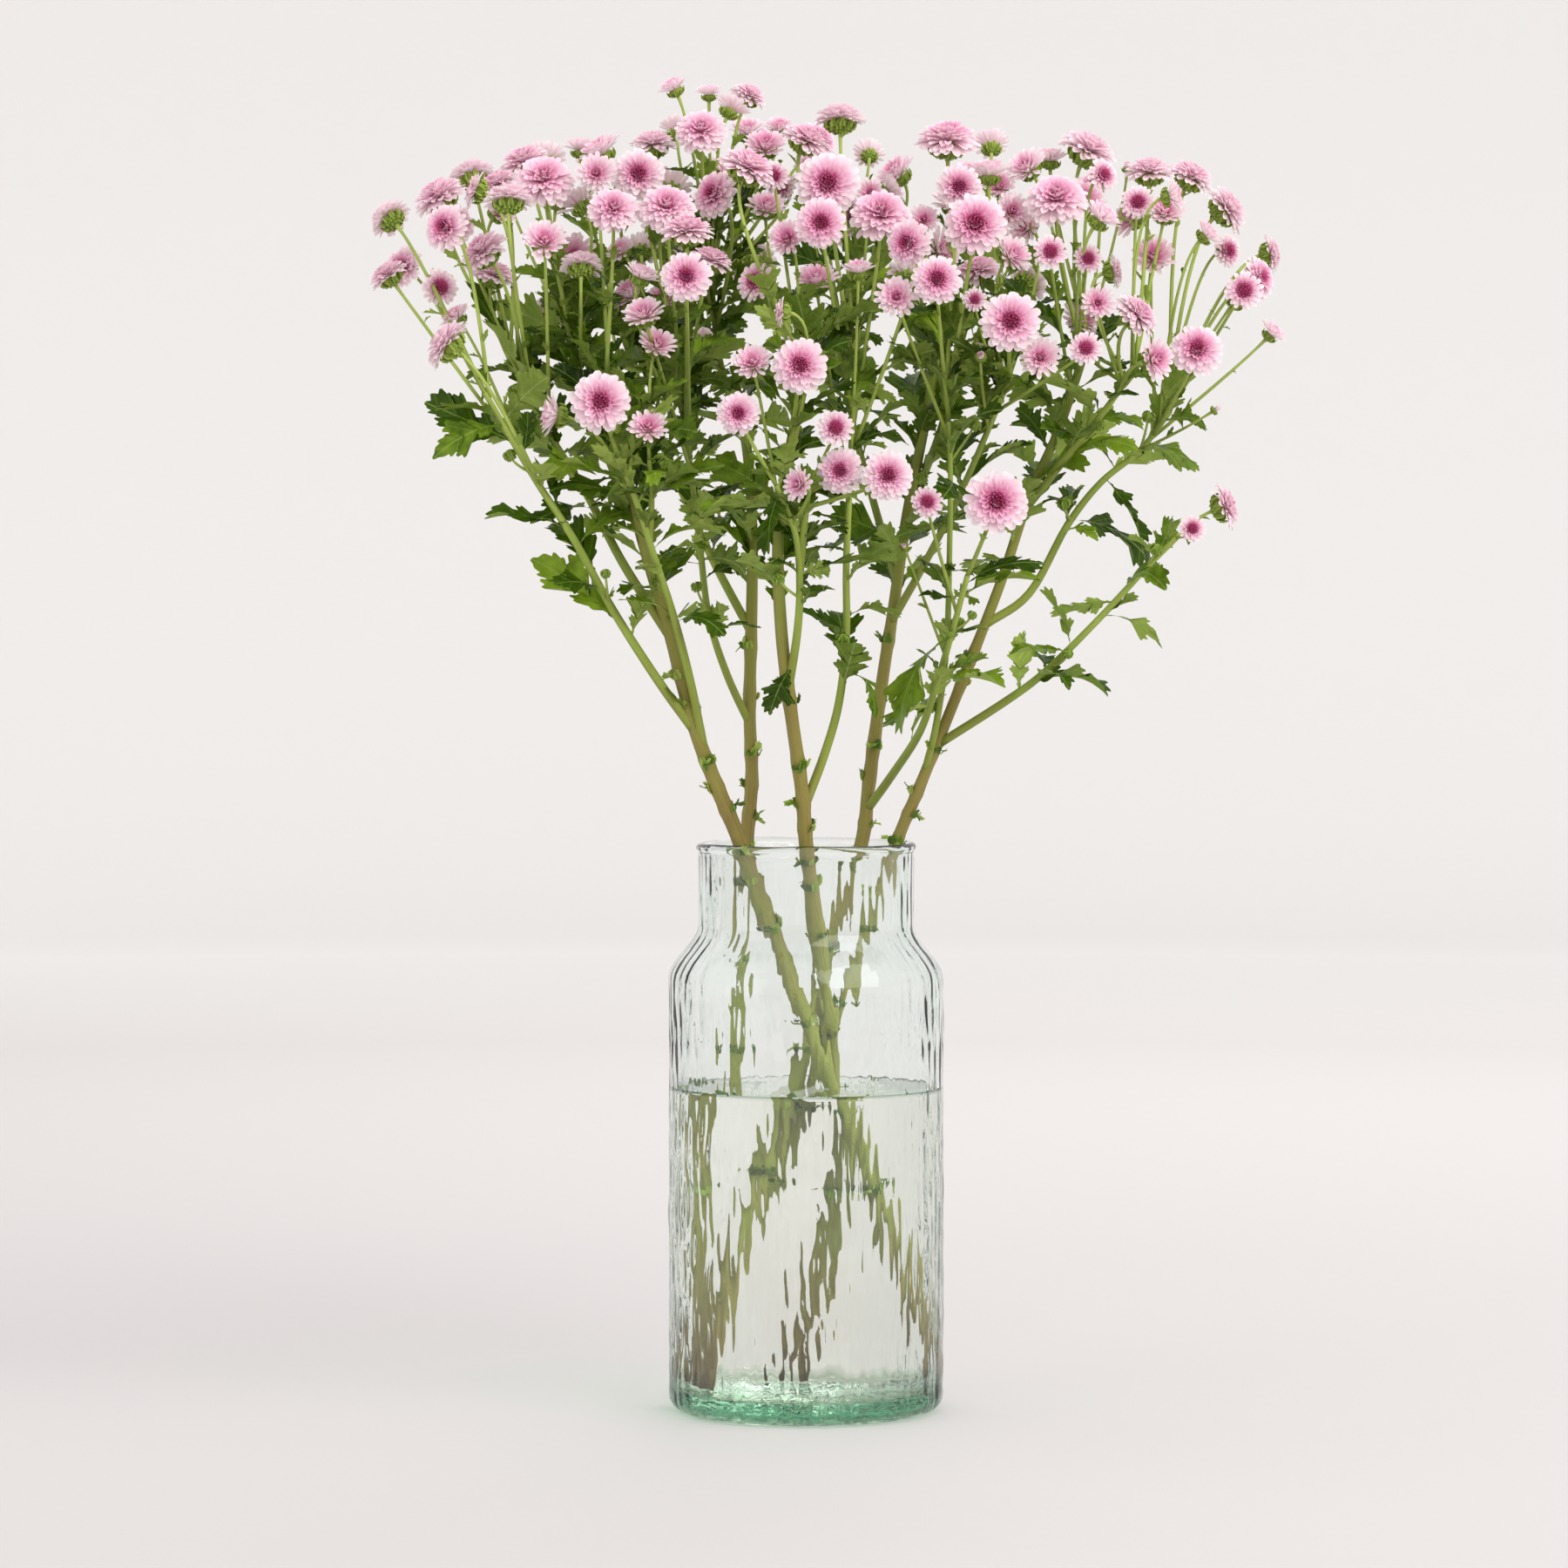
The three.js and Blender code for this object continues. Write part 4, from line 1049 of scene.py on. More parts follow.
def add_heart(put, florets, radius, height, depth, warmth, chance):
    """The heart of a head: a dome set with tiny tubes, which lean outwards towards its edge."""
    dome = bend_rod(
        CUP_SHAPE,
        lambda h: Vector((0, 0, -0.1 + height * h)),
        lambda h: radius * math.sqrt(max(1.02 - h * h, 0.02)),
    )
    put(CUP_SHAPE, dome, (depth + 0.15, 0.5, 0))
    room_each = radius / math.sqrt(florets)
    for i in range(florets):
        share = math.sqrt((i + 0.5) / florets)
        thick = 2.3 * room_each * (0.7 + 0.3 * share)
        points = FLORET_SHAPE.points * (thick, thick, 0.14 + 0.1 * share)
        points = tip_up(points, -0.9 * share)
        points[:, 1] += radius * share
        points[:, 2] += height * (1 - share**2) - 0.06
        tone = (depth + warmth * 0.3 + 0.2 * (1 - share), chance.random(), 0)
        put(FLORET_SHAPE, spin_round(points, math.radians(SPIRAL) * i), tone)


def add_cup(put, chance):
    """The green cup under a head, covered in scales."""
    spread = CUP_HIGH - CUP_LOW
    cup = bend_rod(CUP_SHAPE, lambda h: Vector((0, 0, CUP_LOW + spread * h)), cup_radius)
    put(CUP_SHAPE, cup, (0.6, chance.random(), 0), 1)
    for count, height, length, half_width in BRACT_RINGS:
        for i in range(count):
            points = curl(BRACT_SHAPE.points * (2 * half_width / length, 1, 1), 0.5) * length
            points = tip_up(points, math.radians(BRACT_RISE))
            points[:, 1] += cup_radius(height) - 0.01
            points[:, 2] += CUP_LOW + spread * height
            turn = math.tau * (i + height * 3) / count + chance.gauss(0, 0.04)
            put(BRACT_SHAPE, spin_round(points, turn), (0.75, chance.random(), 0), 1)


def add_head(bunch, at, facing, radius, style, warmth, chance):
    """Adds one flower head: its rings of petals, its heart and its green cup."""
    rings, florets, heart_radius, heart_height, heart_depth = STYLES[style]
    axes = stand(facing, chance.uniform(0, math.tau)).T * radius

    def put(shape, points, tone, slot=0):
        bunch.add(shape, points @ axes + at, tone, slot)

    add_petals(put, rings, warmth, chance)
    add_heart(put, florets, heart_radius, heart_height, heart_depth, warmth, chance)
    add_cup(put, chance)


BUD_SCALES = [(6, -0.85, 60), (7, -0.35, 78), (6, 0.2, 100)]  # how many, how high up the bud, how steep


def add_bud(bunch, at, facing, radius, chance):
    """Adds a round green bud, closed in its scales."""
    axes = stand(facing, chance.uniform(0, math.tau)).T * radius
    ball = bend_rod(
        CUP_SHAPE,
        lambda h: Vector((0, 0, 2 * h - 1)),
        lambda h: 0.9 * math.sqrt(max(1 - (2 * h - 1) ** 2, 0.04)),
    )
    bunch.add(CUP_SHAPE, ball @ axes + at, (0.75, chance.random(), 0), 1)
    for count, height, rise in BUD_SCALES:
        for i in range(count):
            points = curl(BRACT_SHAPE.points * (0.9, 1, 0.9), 0.9)
            points = tip_up(points, math.radians(rise))
            points[:, 1] += 0.98 * math.sqrt(1 - height**2)
            points[:, 2] += height
            points = spin_round(points, math.tau * (i + height) / count)
            bunch.add(BRACT_SHAPE, points @ axes + at, (0.6, chance.random(), 0), 1)


def has_room(spot, reach):
    """Whether all that lies within that many mm of the spot is inside the room for the bouquet."""
    return all(ROOM[0][i] / MM + reach < spot[i] < ROOM[1][i] / MM - reach for i in range(3))


def bud_rows():
    """Two small buds on each side shoot, where there is room for them, in the same terms as a head."""
    chance = random.Random(12)
    for name in SHOOTS:
        for share in (0.42, 0.8):
            around = chance.uniform(-110, 110)
            at = BEARERS[name](share) + heading(around, chance.uniform(20, 65)) * chance.uniform(9, 20)
            if has_room(at, 8):
                yield name, share, at, chance.uniform(3.6, 5.2), around, 60


BUDS = list(bud_rows())

BUD_BELOW = 11  # the diameters below which a head is still a bud, and below which it isn't fully open
YOUNG_BELOW = 19


def style_of(diameter, up, chance):
    """How far a head has opened, from its size and the way it looks; small ones vary."""
    if diameter < BUD_BELOW:
        return "bud"
    if diameter < YOUNG_BELOW:
        return "half" if up > 25 or chance.random() < 0.4 else "young"
    return "full" if up >= 35 else "open"


CROWDED_ABOVE = 485  # the height above which a head gets one more near it
CROWD_TRIES = 2  # how many places are tried for it
CROWD_GAP = 0.55  # how near the middles of two heads may come, as a share of their diameters' sum
CROWD_REACH = 0.66  # how far a head reaches from its middle, as a share of its diameter


def crowd():
    """More heads, half hidden behind and below the upper ones where there is room for them."""
    chance = random.Random(3)
    taken = [(Vector(row[2]), row[3]) for row in HEADS]
    for bearer, share, at, *_ in HEADS:
        for _ in range(CROWD_TRIES if at[2] > CROWDED_ABOVE else 0):
            offset = (chance.uniform(-22, 22), chance.uniform(4, 26), chance.uniform(-22, -2))
            spot = Vector(at) + Vector(offset)
            size = chance.uniform(14, 21)
            clear = all((spot - other).length > CROWD_GAP * (size + wide) for other, wide in taken)
            if clear and has_room(spot, CROWD_REACH * size):
                taken.append((spot, size))
                around = chance.uniform(-70, 70)
                up = chance.uniform(0, 75)
                yield bearer, share * 0.98, spot, size, around, up, "joined"
                break


ALL_HEADS = [*HEADS, *crowd()]

PETAL_REACH = 1.06  # how far a head's petals may reach from its middle, as a share of its radius


def grown(at, radius):
    """The radius to which a head's petals spread, held back where the bouquet ends."""
    room = min(min(at[i] - cad_box[0][i], cad_box[1][i] - at[i]) for i in range(3))
    return radius * min(HEAD_GROWTH, max(HEAD_LEAST, room / radius / PETAL_REACH))


def place_heads():
    """Makes the flower heads: an open one is a piece of its own; the rest and the buds go with their stem."""
    joined = {name: Bunch() for name in STEMS}
    number = 0
    for i, (bearer, _, at, diameter, around, up, *joined_on) in enumerate(ALL_HEADS):
        chance = random.Random(1000 + i)
        style = style_of(diameter, up, chance)
        warmth = chance.uniform(-0.02, 0.05)
        centre = Vector(at) * MM
        radius = grown(centre, diameter / 2 * MM)
        spot = (centre, heading(around, up), radius, style, warmth, chance)
        if joined_on:
            add_head(joined[STEM_OF[bearer]], *spot)
            continue
        number += 1
        bunch = Bunch()
        add_head(bunch, *spot)
        head = bunch.make(f"open_head_{number:02}", [PETAL, CUP_GREEN])
        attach(head, "root")
        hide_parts(f"flower_{number:02}")
    for i, (bearer, _, at, diameter, around, up) in enumerate(BUDS):
        chance = random.Random(3000 + i)
        add_bud(joined[STEM_OF[bearer]], at * MM, heading(around, up), diameter / 2 * MM, chance)
    make_for_stems(joined, "young_heads", [PETAL, CUP_GREEN])


# ---------------------------------------------------------------- leaves

# Along the leaf from its foot: the place on the midrib, then how far out the edge lies and how far up.
# Each side lobe has a lower tooth, a blunt tip and an upper tooth, with a deep gap over it.
LEAF_OUTLINE = [
    (0, 0.03, 0), (0.08, 0.022, 0.08), (0.115, 0.05, 0.13), (0.14, 0.03, 0.16),
    (0.175, 0.06, 0.215), (0.19, 0.15, 0.26), (0.2, 0.165, 0.285), (0.21, 0.155, 0.3), (0.225, 0.27, 0.38),
    (0.235, 0.28, 0.41), (0.25, 0.23, 0.415), (0.262, 0.235, 0.455), (0.275, 0.2, 0.465), (0.29, 0.14, 0.43),
    (0.315, 0.105, 0.435),
    (0.35, 0.125, 0.47), (0.365, 0.2, 0.505), (0.375, 0.21, 0.53), (0.385, 0.205, 0.55), (0.4, 0.33, 0.645),
    (0.41, 0.335, 0.68), (0.425, 0.27, 0.68), (0.44, 0.27, 0.73), (0.45, 0.235, 0.74), (0.47, 0.165, 0.69),
    (0.5, 0.125, 0.69),
    (0.54, 0.15, 0.715), (0.565, 0.195, 0.745), (0.58, 0.2, 0.77), (0.6, 0.175, 0.785), (0.63, 0.21, 0.86),
    (0.65, 0.195, 0.885), (0.69, 0.135, 0.87), (0.75, 0.12, 0.935), (0.79, 0.1, 0.955), (0.85, 0.06, 0.945),
    (0.93, 0.035, 0.985), (1, 0.006, 1),
]
LEAF_LOBES = [(5, 13, 0.2), (16, 24, 0.37), (27, 34, 0.56)]  # the first and last row of each, and its root
SMALL_LEAF_OUTLINE = [
    (0, 0.06, 0), (0.3, 0.1, 0), (0.5, 0.24, 0.1), (0.6, 0.11, 0.04), (0.78, 0.12, 0.04), (1, 0.01, 0),
]


def model_leaf(seed):
    """A deeply lobed and toothed leaf; each seed turns and stretches its lobes its own way."""
    chance = random.Random(seed)
    leaf = add_blade("leaf_blank", 2, len(LEAF_OUTLINE) - 1)
    shape_blade(leaf, 2, [(root, out, along - root) for root, out, along in LEAF_OUTLINE], cup=0.3)
    for first, last, root in LEAF_LOBES:
        for side in (-1, 1):
            pick_points(leaf, lambda v: first <= v.index // 3 <= last and v.co.x * side > 0.001)
            size = chance.uniform(0.8, 1.15)
            scale_picked(size, size, size, about=(0, root, 0))
            turn = math.radians(chance.uniform(-9, 7)) * side
            bpy.ops.transform.rotate(value=turn, orient_axis="Z", center_override=(0, root, 0))
            move_picked(z=chance.uniform(-0.05, 0.04))
    shape = Shape(finish_piece(leaf))
    shape.uv = (shape.points[shape.corners, :2] + (0.5, 0)).ravel()
    return shape


LEAF_SHAPES = [model_leaf(seed) for seed in range(6)]
SMALL_LEAF_SHAPE = model_blade("small_leaf_blank", 2, SMALL_LEAF_OUTLINE, cup=0.5)

LEAF_GROWTH = 1.15  # how much longer a leaf is cut than it lies, for what its arch takes up
LEAF_WIDTHS = (0.52, 0.9)
LEAF_ARCHES = (0.4, 1.7)


def add_leaf(bunch, at, around, up, length, chance):
    """Adds a leaf that springs up from at and arches over, so that on the whole it lies that way.

    Near the edge of the room for the bouquet it is made smaller until it fits."""
    shape = LEAF_SHAPES[chance.randrange(len(LEAF_SHAPES))]
    arch = chance.uniform(*LEAF_ARCHES)
    lie = chance.gauss(0, 0.6)
    points = shape.points * (chance.uniform(*LEAF_WIDTHS), 1, chance.uniform(-0.2, 1.2))
    side = np.sign(points[:, 0])
    points[:, 2] += 0.3 * np.abs(points[:, 0]) * np.sin(points[:, 1] * 10 + side * chance.uniform(0, 3))
    points = curl(points, -arch, chance.uniform(-0.7, 0.7))
    c, s = math.cos(lie), math.sin(lie)
    points = points @ np.array([(c, 0, s), (0, 1, 0), (-s, 0, c)])
    points = tip_up(points * MM, math.radians(up) + arch / 2)
    axes = np.array([heading(around - 90, 0), heading(around, 0), (0, 0, 1)])
    size = length * LEAF_GROWTH
    for _ in range(6):
        placed = points @ axes * size + at * MM
        if (placed > ROOM[0]).all() and (placed < ROOM[1]).all():
            break
        size *= 0.85
    bunch.add(shape, placed, (chance.random(), chance.random(), 0))


def add_small_leaf(bunch, at, way, length, chance):
    """Adds a narrow little leaf to a pedicel, lying near the way that the stalk runs."""
    around = chance.uniform(0, math.tau)
    lean = chance.uniform(0.5, 1.0)
    wide = chance.uniform(0.9, 1.5)
    points = curl(SMALL_LEAF_SHAPE.points * (wide, 1, wide), chance.uniform(-0.9, 0.5))
    points = spin_round(tip_up(points, math.pi / 2 - lean), around)
    placed = points @ stand(way).T * length * MM + at * MM
    bunch.add(SMALL_LEAF_SHAPE, placed, (0.5 + chance.random() / 2, chance.random(), 0))


def every_leaf():
    """(bearer, share, around, up, length) of each leaf with a place of its own, then of the spirals."""
    yield from LEAVES
    for bearer, begin, end, count, first, length in LEAF_SPIRALS:
        for i in range(count):
            share = begin + (end - begin) * i / (count - 1)
            up = 32 - 14 * math.sin(2.1 * i)
            yield bearer, share, first + SPIRAL * i, up, length + 6 * math.sin(1.7 * i + first)


LEAFY_SHOOTS = ["left_two", "left_three", "back_left", "thin_left", "back_middle", "back_top"]

# More leaves: on what, how many on each, the share of its length where they begin, the way the first one
# lies, and the ranges of how far up they lie and of their length.
EXTRA_LEAVES = [
    (STEMS, 16, 0.71, 200, (-10, 60), (20, 38)),
    (SHOOTS, 9, 0.3, 40, (-20, 60), (14, 34)),
    (LEAFY_SHOOTS, 10, 0.45, 90, (-15, 50), (24, 38)),
]


def extra_leaves():
    """More leaves, smaller ones among them, wherever a stem or a shoot is in leaf."""
    chance = random.Random(77)
    for bearers, count, begin, first, ups, lengths in EXTRA_LEAVES:
        for name in bearers:
            for i in range(count):
                share = begin + (1 - begin) * (i + chance.random()) / count
                yield name, share, first + SPIRAL * i, chance.uniform(*ups), chance.uniform(*lengths)


PEDICEL_LEAVES = (0.08, 0.22, 0.36)  # about where along a pedicel its leaves grow
LEAFY_ABOVE = 455  # they grow only under heads that stand higher than this,
LEAFY_WITHIN = 112  # and only where the pedicel is within this of the vase's axis
BIG_HEAD = 20  # the diameter over which a head has three little leaves on its pedicel, not two


def place_leaves():
    """Makes the leaves of each stem, those of its shoots and pedicels with them."""
    bunches = {name: Bunch() for name in STEMS}
    chance = random.Random(5)
    for bearer, share, around, up, length in [*every_leaf(), *extra_leaves()]:
        add_leaf(bunches[STEM_OF[bearer]], BEARERS[bearer](share), around, up, length, chance)
    for row in ALL_HEADS:
        bearer, _, head_at, diameter = row[:4]
        bunch = bunches[STEM_OF[bearer]]
        at = pedicel(row)
        for share in PEDICEL_LEAVES:
            share += chance.uniform(-0.05, 0.05)
            around = chance.uniform(0, 360)
            up = chance.uniform(0, 60)
            length = chance.uniform(14, 28)
            if head_at[2] > LEAFY_ABOVE and math.hypot(at(share).x, at(share).y) < LEAFY_WITHIN:
                add_leaf(bunch, at(share), around, up, length, chance)
        for k in range(3 if diameter > BIG_HEAD else 2):
            share = 0.25 + 0.32 * k + chance.uniform(-0.08, 0.08)
            way = (at(share + 0.03) - at(share)).normalized()
            add_small_leaf(bunch, at(share), way, chance.uniform(4, 10), chance)
    make_for_stems(bunches, "leaves", [LEAF])


# ---------------------------------------------------------------- stems, shoots and pedicels


def pedicel(row):
    """The curve of a flower's own stalk, from its bearer to the cup of the head."""
    bearer, share, at, diameter, around, up = row[:6]
    facing = heading(around, up)
    start = BEARERS[bearer](share)
    end = Vector(at) + facing * (JOIN_DEPTH - HEAD_BELOW * diameter)
    reach = min(PEDICEL_BEND, 0.4 * (end - start).length)
    middle = end - facing * reach
    return lambda t: start * (1 - t) ** 2 + middle * 2 * t * (1 - t) + end * t**2


def add_stalk(bunch, rod, at, radius_at, young_at, chance):
    """Lays a rod along a curve. young_at gives its colour from 0, old, to 1, fresh."""
    points = bend_rod(rod, at, radius_at) * MM
    youth = np.array([young_at(h) for h in rod.points[:, 2]])
    tone = np.stack([youth, np.full(len(youth), chance.random()), rod.points[:, 2]], 1)
    bunch.add(rod, points, tone)


BARE_LOW = 0.11  # the share of a stem below which no leaf scar shows
BARE_HIGH = 0.68  # the share where its leaves begin
SCARS = 11
SCAR_SWELL = 0.45  # how far a stem swells at a scar
TAPER_FROM = 0.35  # the share of a stem from which it tapers
# A stem's colour, from 0, old, to 1, fresh, at some shares of its length.
STEM_AGES = [(0, 0.05), (0.04, 0.2), (0.1, 0.44), (0.22, 0.46), (0.4, 0.24), (0.62, 0.32), (1, 0.6)]
CUP_FLARE = 0.15  # the last share of a pedicel, which widens into the cup


def scar_shares(name):
    """Where the stripped leaves of a stem were."""
    chance = random.Random(name)
    return [BARE_LOW + (BARE_HIGH - BARE_LOW) * (i + 0.7 * chance.random()) / SCARS for i in range(SCARS)]


def stem_age(share):
    """The colour of a stem at a share of its length."""
    return float(np.interp(share, *zip(*STEM_AGES)))


def place_stems():
    """Makes each stem with its shoots and pedicels, and what is left of its stripped leaves."""
    bunches = {name: Bunch() for name in STEMS}
    stubs = {name: Bunch() for name in STEMS}
    chance = random.Random(9)
    for name, (radius, _) in STEMS.items():
        scars = scar_shares(name)

        def stem_radius(h):
            swell = sum(math.exp(-(((h - s) * 110) ** 2)) for s in scars)
            return radius * (1 - 0.5 * max(h - TAPER_FROM, 0)) + SCAR_SWELL * swell

        add_stalk(bunches[name], STEM_ROD, BEARERS[name], stem_radius, stem_age, chance)
        for i, share in enumerate(scars):
            add_stub(stubs[name], name, share, stem_radius(share), SPIRAL * i, chance)
    for name, (stem, radius, _) in SHOOTS.items():
        add_stalk(
            bunches[stem], SHOOT_ROD, BEARERS[name],
            lambda h: radius * (1.08 - 0.45 * h), lambda h: 0.5 + 0.3 * h, chance,
        )
    for row in [*ALL_HEADS, *BUDS]:
        thick = PEDICEL_RADIUS * (0.7 + 0.018 * row[3])

        def pedicel_radius(h):
            return thick * (1.1 - 0.35 * h + 0.5 * max(h - (1 - CUP_FLARE), 0) / CUP_FLARE)

        add_stalk(
            bunches[STEM_OF[row[0]]], PEDICEL_ROD, pedicel(row),
            pedicel_radius, lambda h: 0.72 + 0.26 * h, chance,
        )
    make_for_stems(bunches, "stalks", [STALK])
    make_for_stems(stubs, "leaf_stubs", [CUP_GREEN])


def add_rag(bunch, at, out, way, length, chance, roll=1.8):
    """Adds a torn scrap of leaf from at towards out, with way as its upper side, more or less rolled up."""
    points = RAG_SHAPE.points * (chance.uniform(0.7, 1.2), 1, 1)
    points = curl(points, chance.uniform(-roll, roll), chance.uniform(-0.9, 0.9)) * length
    axes = np.array([out.cross(way), out, way])
    bunch.add(RAG_SHAPE, (points @ axes + at) * MM, (chance.random(), chance.random(), 0))


def off(way, out):
    """The direction nearest to out at a right angle to way."""
    return (out - way * out.dot(way)).normalized()


SHEATH_DRY = 3  # how many scraps make the sheath of a stub above the vase's rim, and below it
SHEATH_WET = 6


def add_stub(bunch, name, share, radius, around, chance):
    """What is left of a stripped leaf: a torn green sheath round part of the stem and two scraps by it."""
    way = along_bearer(name, share)
    centre = BEARERS[name](share)
    out = off(way, heading(around, 0))
    for k in range(SHEATH_WET if centre.z < VASE_HEIGHT else SHEATH_DRY):
        lean = Matrix.Rotation(math.radians((k - 1) * 50 + chance.uniform(-16, 16)), 3, way) @ out
        up = (way + lean * chance.uniform(0.12, 0.5)).normalized()
        foot = centre + lean * radius * 0.92 - way * 1.5
        add_rag(bunch, foot, up, off(up, lean), chance.uniform(3, 5.5), chance, 0.5)
    for k in range(2):
        lean = Matrix.Rotation(math.radians(chance.uniform(-50, 50)), 3, way) @ out
        tilt = (lean + way * chance.uniform(-0.3, 0.9)).normalized()
        foot = centre + lean * radius * 0.85
        add_rag(bunch, foot, tilt, off(tilt, way), chance.uniform(3.5, 7), chance)


# Scraps of leaf that float on the water, most of them against the glass.
SCRAPS = [
    (-53, -12), (-37, -37), (-31, -42), (-6, -53), (9, -52), (24, -47), (44, -29), (53, -8), (-48, 22),
    (30, 42),
]


def place_scraps():
    """Makes the scraps of leaf on the water."""
    bunch = Bunch()
    chance = random.Random(21)
    for x, y in SCRAPS:
        out = heading(chance.uniform(0, 360), chance.uniform(-35, 10))
        at = Vector((x, y, WATER_LEVEL + chance.uniform(-1.0, 0.6)))
        add_rag(bunch, at - out * 2.5, out, out.orthogonal().normalized(), chance.uniform(4, 7), chance)
    scraps = bunch.make("floating_leaf_scraps", [CUP_GREEN])
    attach(scraps, "root")


# ---------------------------------------------------------------- vase and water

ROUND = 380  # faces round the vase, and round the water
WATER_ROUND = 320
RIBS = 26
FLOOR_EDGE = 50  # the radius out to which the floor is wrinkled
PUNT = 3.2  # how far the middle of the underside is pushed up
FOOT_RADIUS = 49  # at which the underside comes down to the table
RIM_RADIUS = 2.1  # of the roll of the rim
RIM_MIDDLE = VASE_HEIGHT - 2.3
RIM_BEGINS = VASE_HEIGHT - 7
INNER_SHARE = 0.45  # how much of the outer ripple the inner skin follows
WATER_BITE = 0.15  # how far the water reaches into the glass, so that no air shows between them
WATER_CLIMB = 0.4  # how far the water stands up along the glass


def ripple(angle, height):
    """How far the glass skin stands out, in mm: soft upright ribs, and long drips pressed in lower down."""
    x = math.cos(angle)
    y = math.sin(angle)
    ribs = 0.15 * math.cos(RIBS * angle + 1.4 * noise.noise((x * 2, y * 2, height * 0.012)))
    broad_drip = noise.noise((x * 14, y * 14, height * 0.05))
    long_drip = noise.noise((x * 27 + 9, y * 27, height * 0.065))
    short_drip = noise.noise((x * 44, y * 44 + 5, height * 0.12))
    dents = noise.noise((x * 6, y * 6 + 4, height * 0.05))
    low = 1 - smooth_step((height - 140) / 60)
    body = 1 - smooth_step((height - 180) / 30)
    calm = 1 - 0.7 * math.exp(-(((height - WATER_LEVEL - 6) / 9) ** 2))
    drips = 0.4 * broad_drip + (0.36 * long_drip + 0.26 * short_drip) * (0.3 + 0.2 * body + 0.5 * low)
    fade = smooth_step(height / 6)
    return fade * (ribs * (0.9 - 0.5 * low) + calm * (drips * (0.6 + 0.2 * body + 0.2 * low) + 0.25 * dents))


def smooth_step(t):
    """An eased way from 0 to 1."""
    t = min(max(t, 0), 1)
    return t * t * (3 - 2 * t)


def shoulder(share, inset):
    """A point of the slope from the body to the neck, inset from the outer skin."""
    ease = smooth_step(share)
    rise = (SHOULDER_HIGH - SHOULDER_LOW) * share
    return BODY_RADIUS - inset + (NECK_RADIUS - BODY_RADIUS) * ease, SHOULDER_LOW + rise - inset * 0.4


def quarter(radius, floor, size, steps, upward):
    """The rounded corner between the floor and the wall."""
    angles = [math.pi / 2 * i / steps for i in range(steps + 1)]
    points = [(radius - size + size * math.sin(a), floor + size - size * math.cos(a)) for a in angles]
    return points if upward else points[::-1]


def level_run(radius, low, high, step):
    """Points straight up a wall, about one step apart."""
    count = max(1, round(abs(high - low) / step))
    return [(radius, low + (high - low) * i / count) for i in range(1, count)]


def vase_outline():
    """The section of the glass from the middle of its underside, up outside, over the rim and down inside."""
    inner = BODY_RADIUS - WALL
    neck = NECK_RADIUS - WALL
    points = [(radius, PUNT - PUNT * (radius / FOOT_RADIUS) ** 2) for radius in range(0, FOOT_RADIUS, 2)]
    points += [(FOOT_RADIUS + 0.5, 0.0)]
    points += quarter(BODY_RADIUS, 0, CORNER_RADIUS, 6, True)
    points += level_run(BODY_RADIUS, CORNER_RADIUS, SHOULDER_LOW, 2.4)
    points += [shoulder(i / 10, 0) for i in range(11)]
    points += level_run(NECK_RADIUS, SHOULDER_HIGH, VASE_HEIGHT - 4.6, 3)
    points.append((NECK_RADIUS, RIM_MIDDLE - 2.5))
    for i in range(9):
        a = math.radians(-55 + 250 * i / 8)
        points.append((NECK_RADIUS - 0.9 + RIM_RADIUS * math.cos(a), RIM_MIDDLE + RIM_RADIUS * math.sin(a)))
    points.append((neck, RIM_MIDDLE - 2.7))
    points += level_run(neck, VASE_HEIGHT - 6, SHOULDER_HIGH, 6)
    points += [shoulder(1 - i / 7, WALL) for i in range(8)]
    points += level_run(inner, SHOULDER_LOW - 4, FLOOR + CORNER_RADIUS, 4.5)
    points += quarter(inner, FLOOR, CORNER_RADIUS, 5, False)
    points += [(radius, FLOOR) for radius in range(48, -1, -2)]
    return points


def spin_outline(name, outline, steps):
    """Spins a section round the vertical axis; one that begins and ends on it becomes a closed body."""
    start_afresh()
    mesh = bpy.data.meshes.new(name)
    points = [(radius * MM, 0, height * MM) for radius, height in outline]
    mesh.from_pydata(points, [(i, i + 1) for i in range(len(points) - 1)], [])
    body = bpy.data.objects.new(name, mesh)
    bpy.context.scene.collection.objects.link(body)
    enter_edit(body)
    bpy.ops.mesh.select_all(action="SELECT")
    bpy.ops.mesh.spin(steps=steps, angle=math.tau, center=(0, 0, 0), axis=(0, 0, 1))
    bpy.ops.mesh.select_all(action="SELECT")
    bpy.ops.mesh.remove_doubles(threshold=0.00001)
    bpy.ops.mesh.normals_make_consistent(inside=False)
    finish_piece(body)
    for face in body.data.polygons:
        face.use_smooth = True
    return body


def ripple_skin(body, change):
    """Moves each point by change(radius, angle, height), which gives its new radius and height in mm."""
    for v in body.data.vertices:
        x, y, z = v.co / MM
        radius = math.hypot(x, y)
        if radius > 1e-3:
            angle = math.atan2(y, x)
            new, height = change(radius, angle, z)
            v.co = Vector((x * new / radius, y * new / radius, height)) * MM
        else:
            v.co.z = change(radius, 0.0, z)[1] * MM


def pressed_floor(radius, angle):
    """How far the wrinkled glass floor rises, fading out towards its edge."""
    x = radius * math.cos(angle)
    y = radius * math.sin(angle)
    coarse = noise.noise((x * 0.13, y * 0.13, 3.0))
    fine = noise.noise((x * 0.3, y * 0.3, 7.0))
    return smooth_step((FLOOR_EDGE - radius) / 6) * (1.8 * coarse + 1.1 * fine)


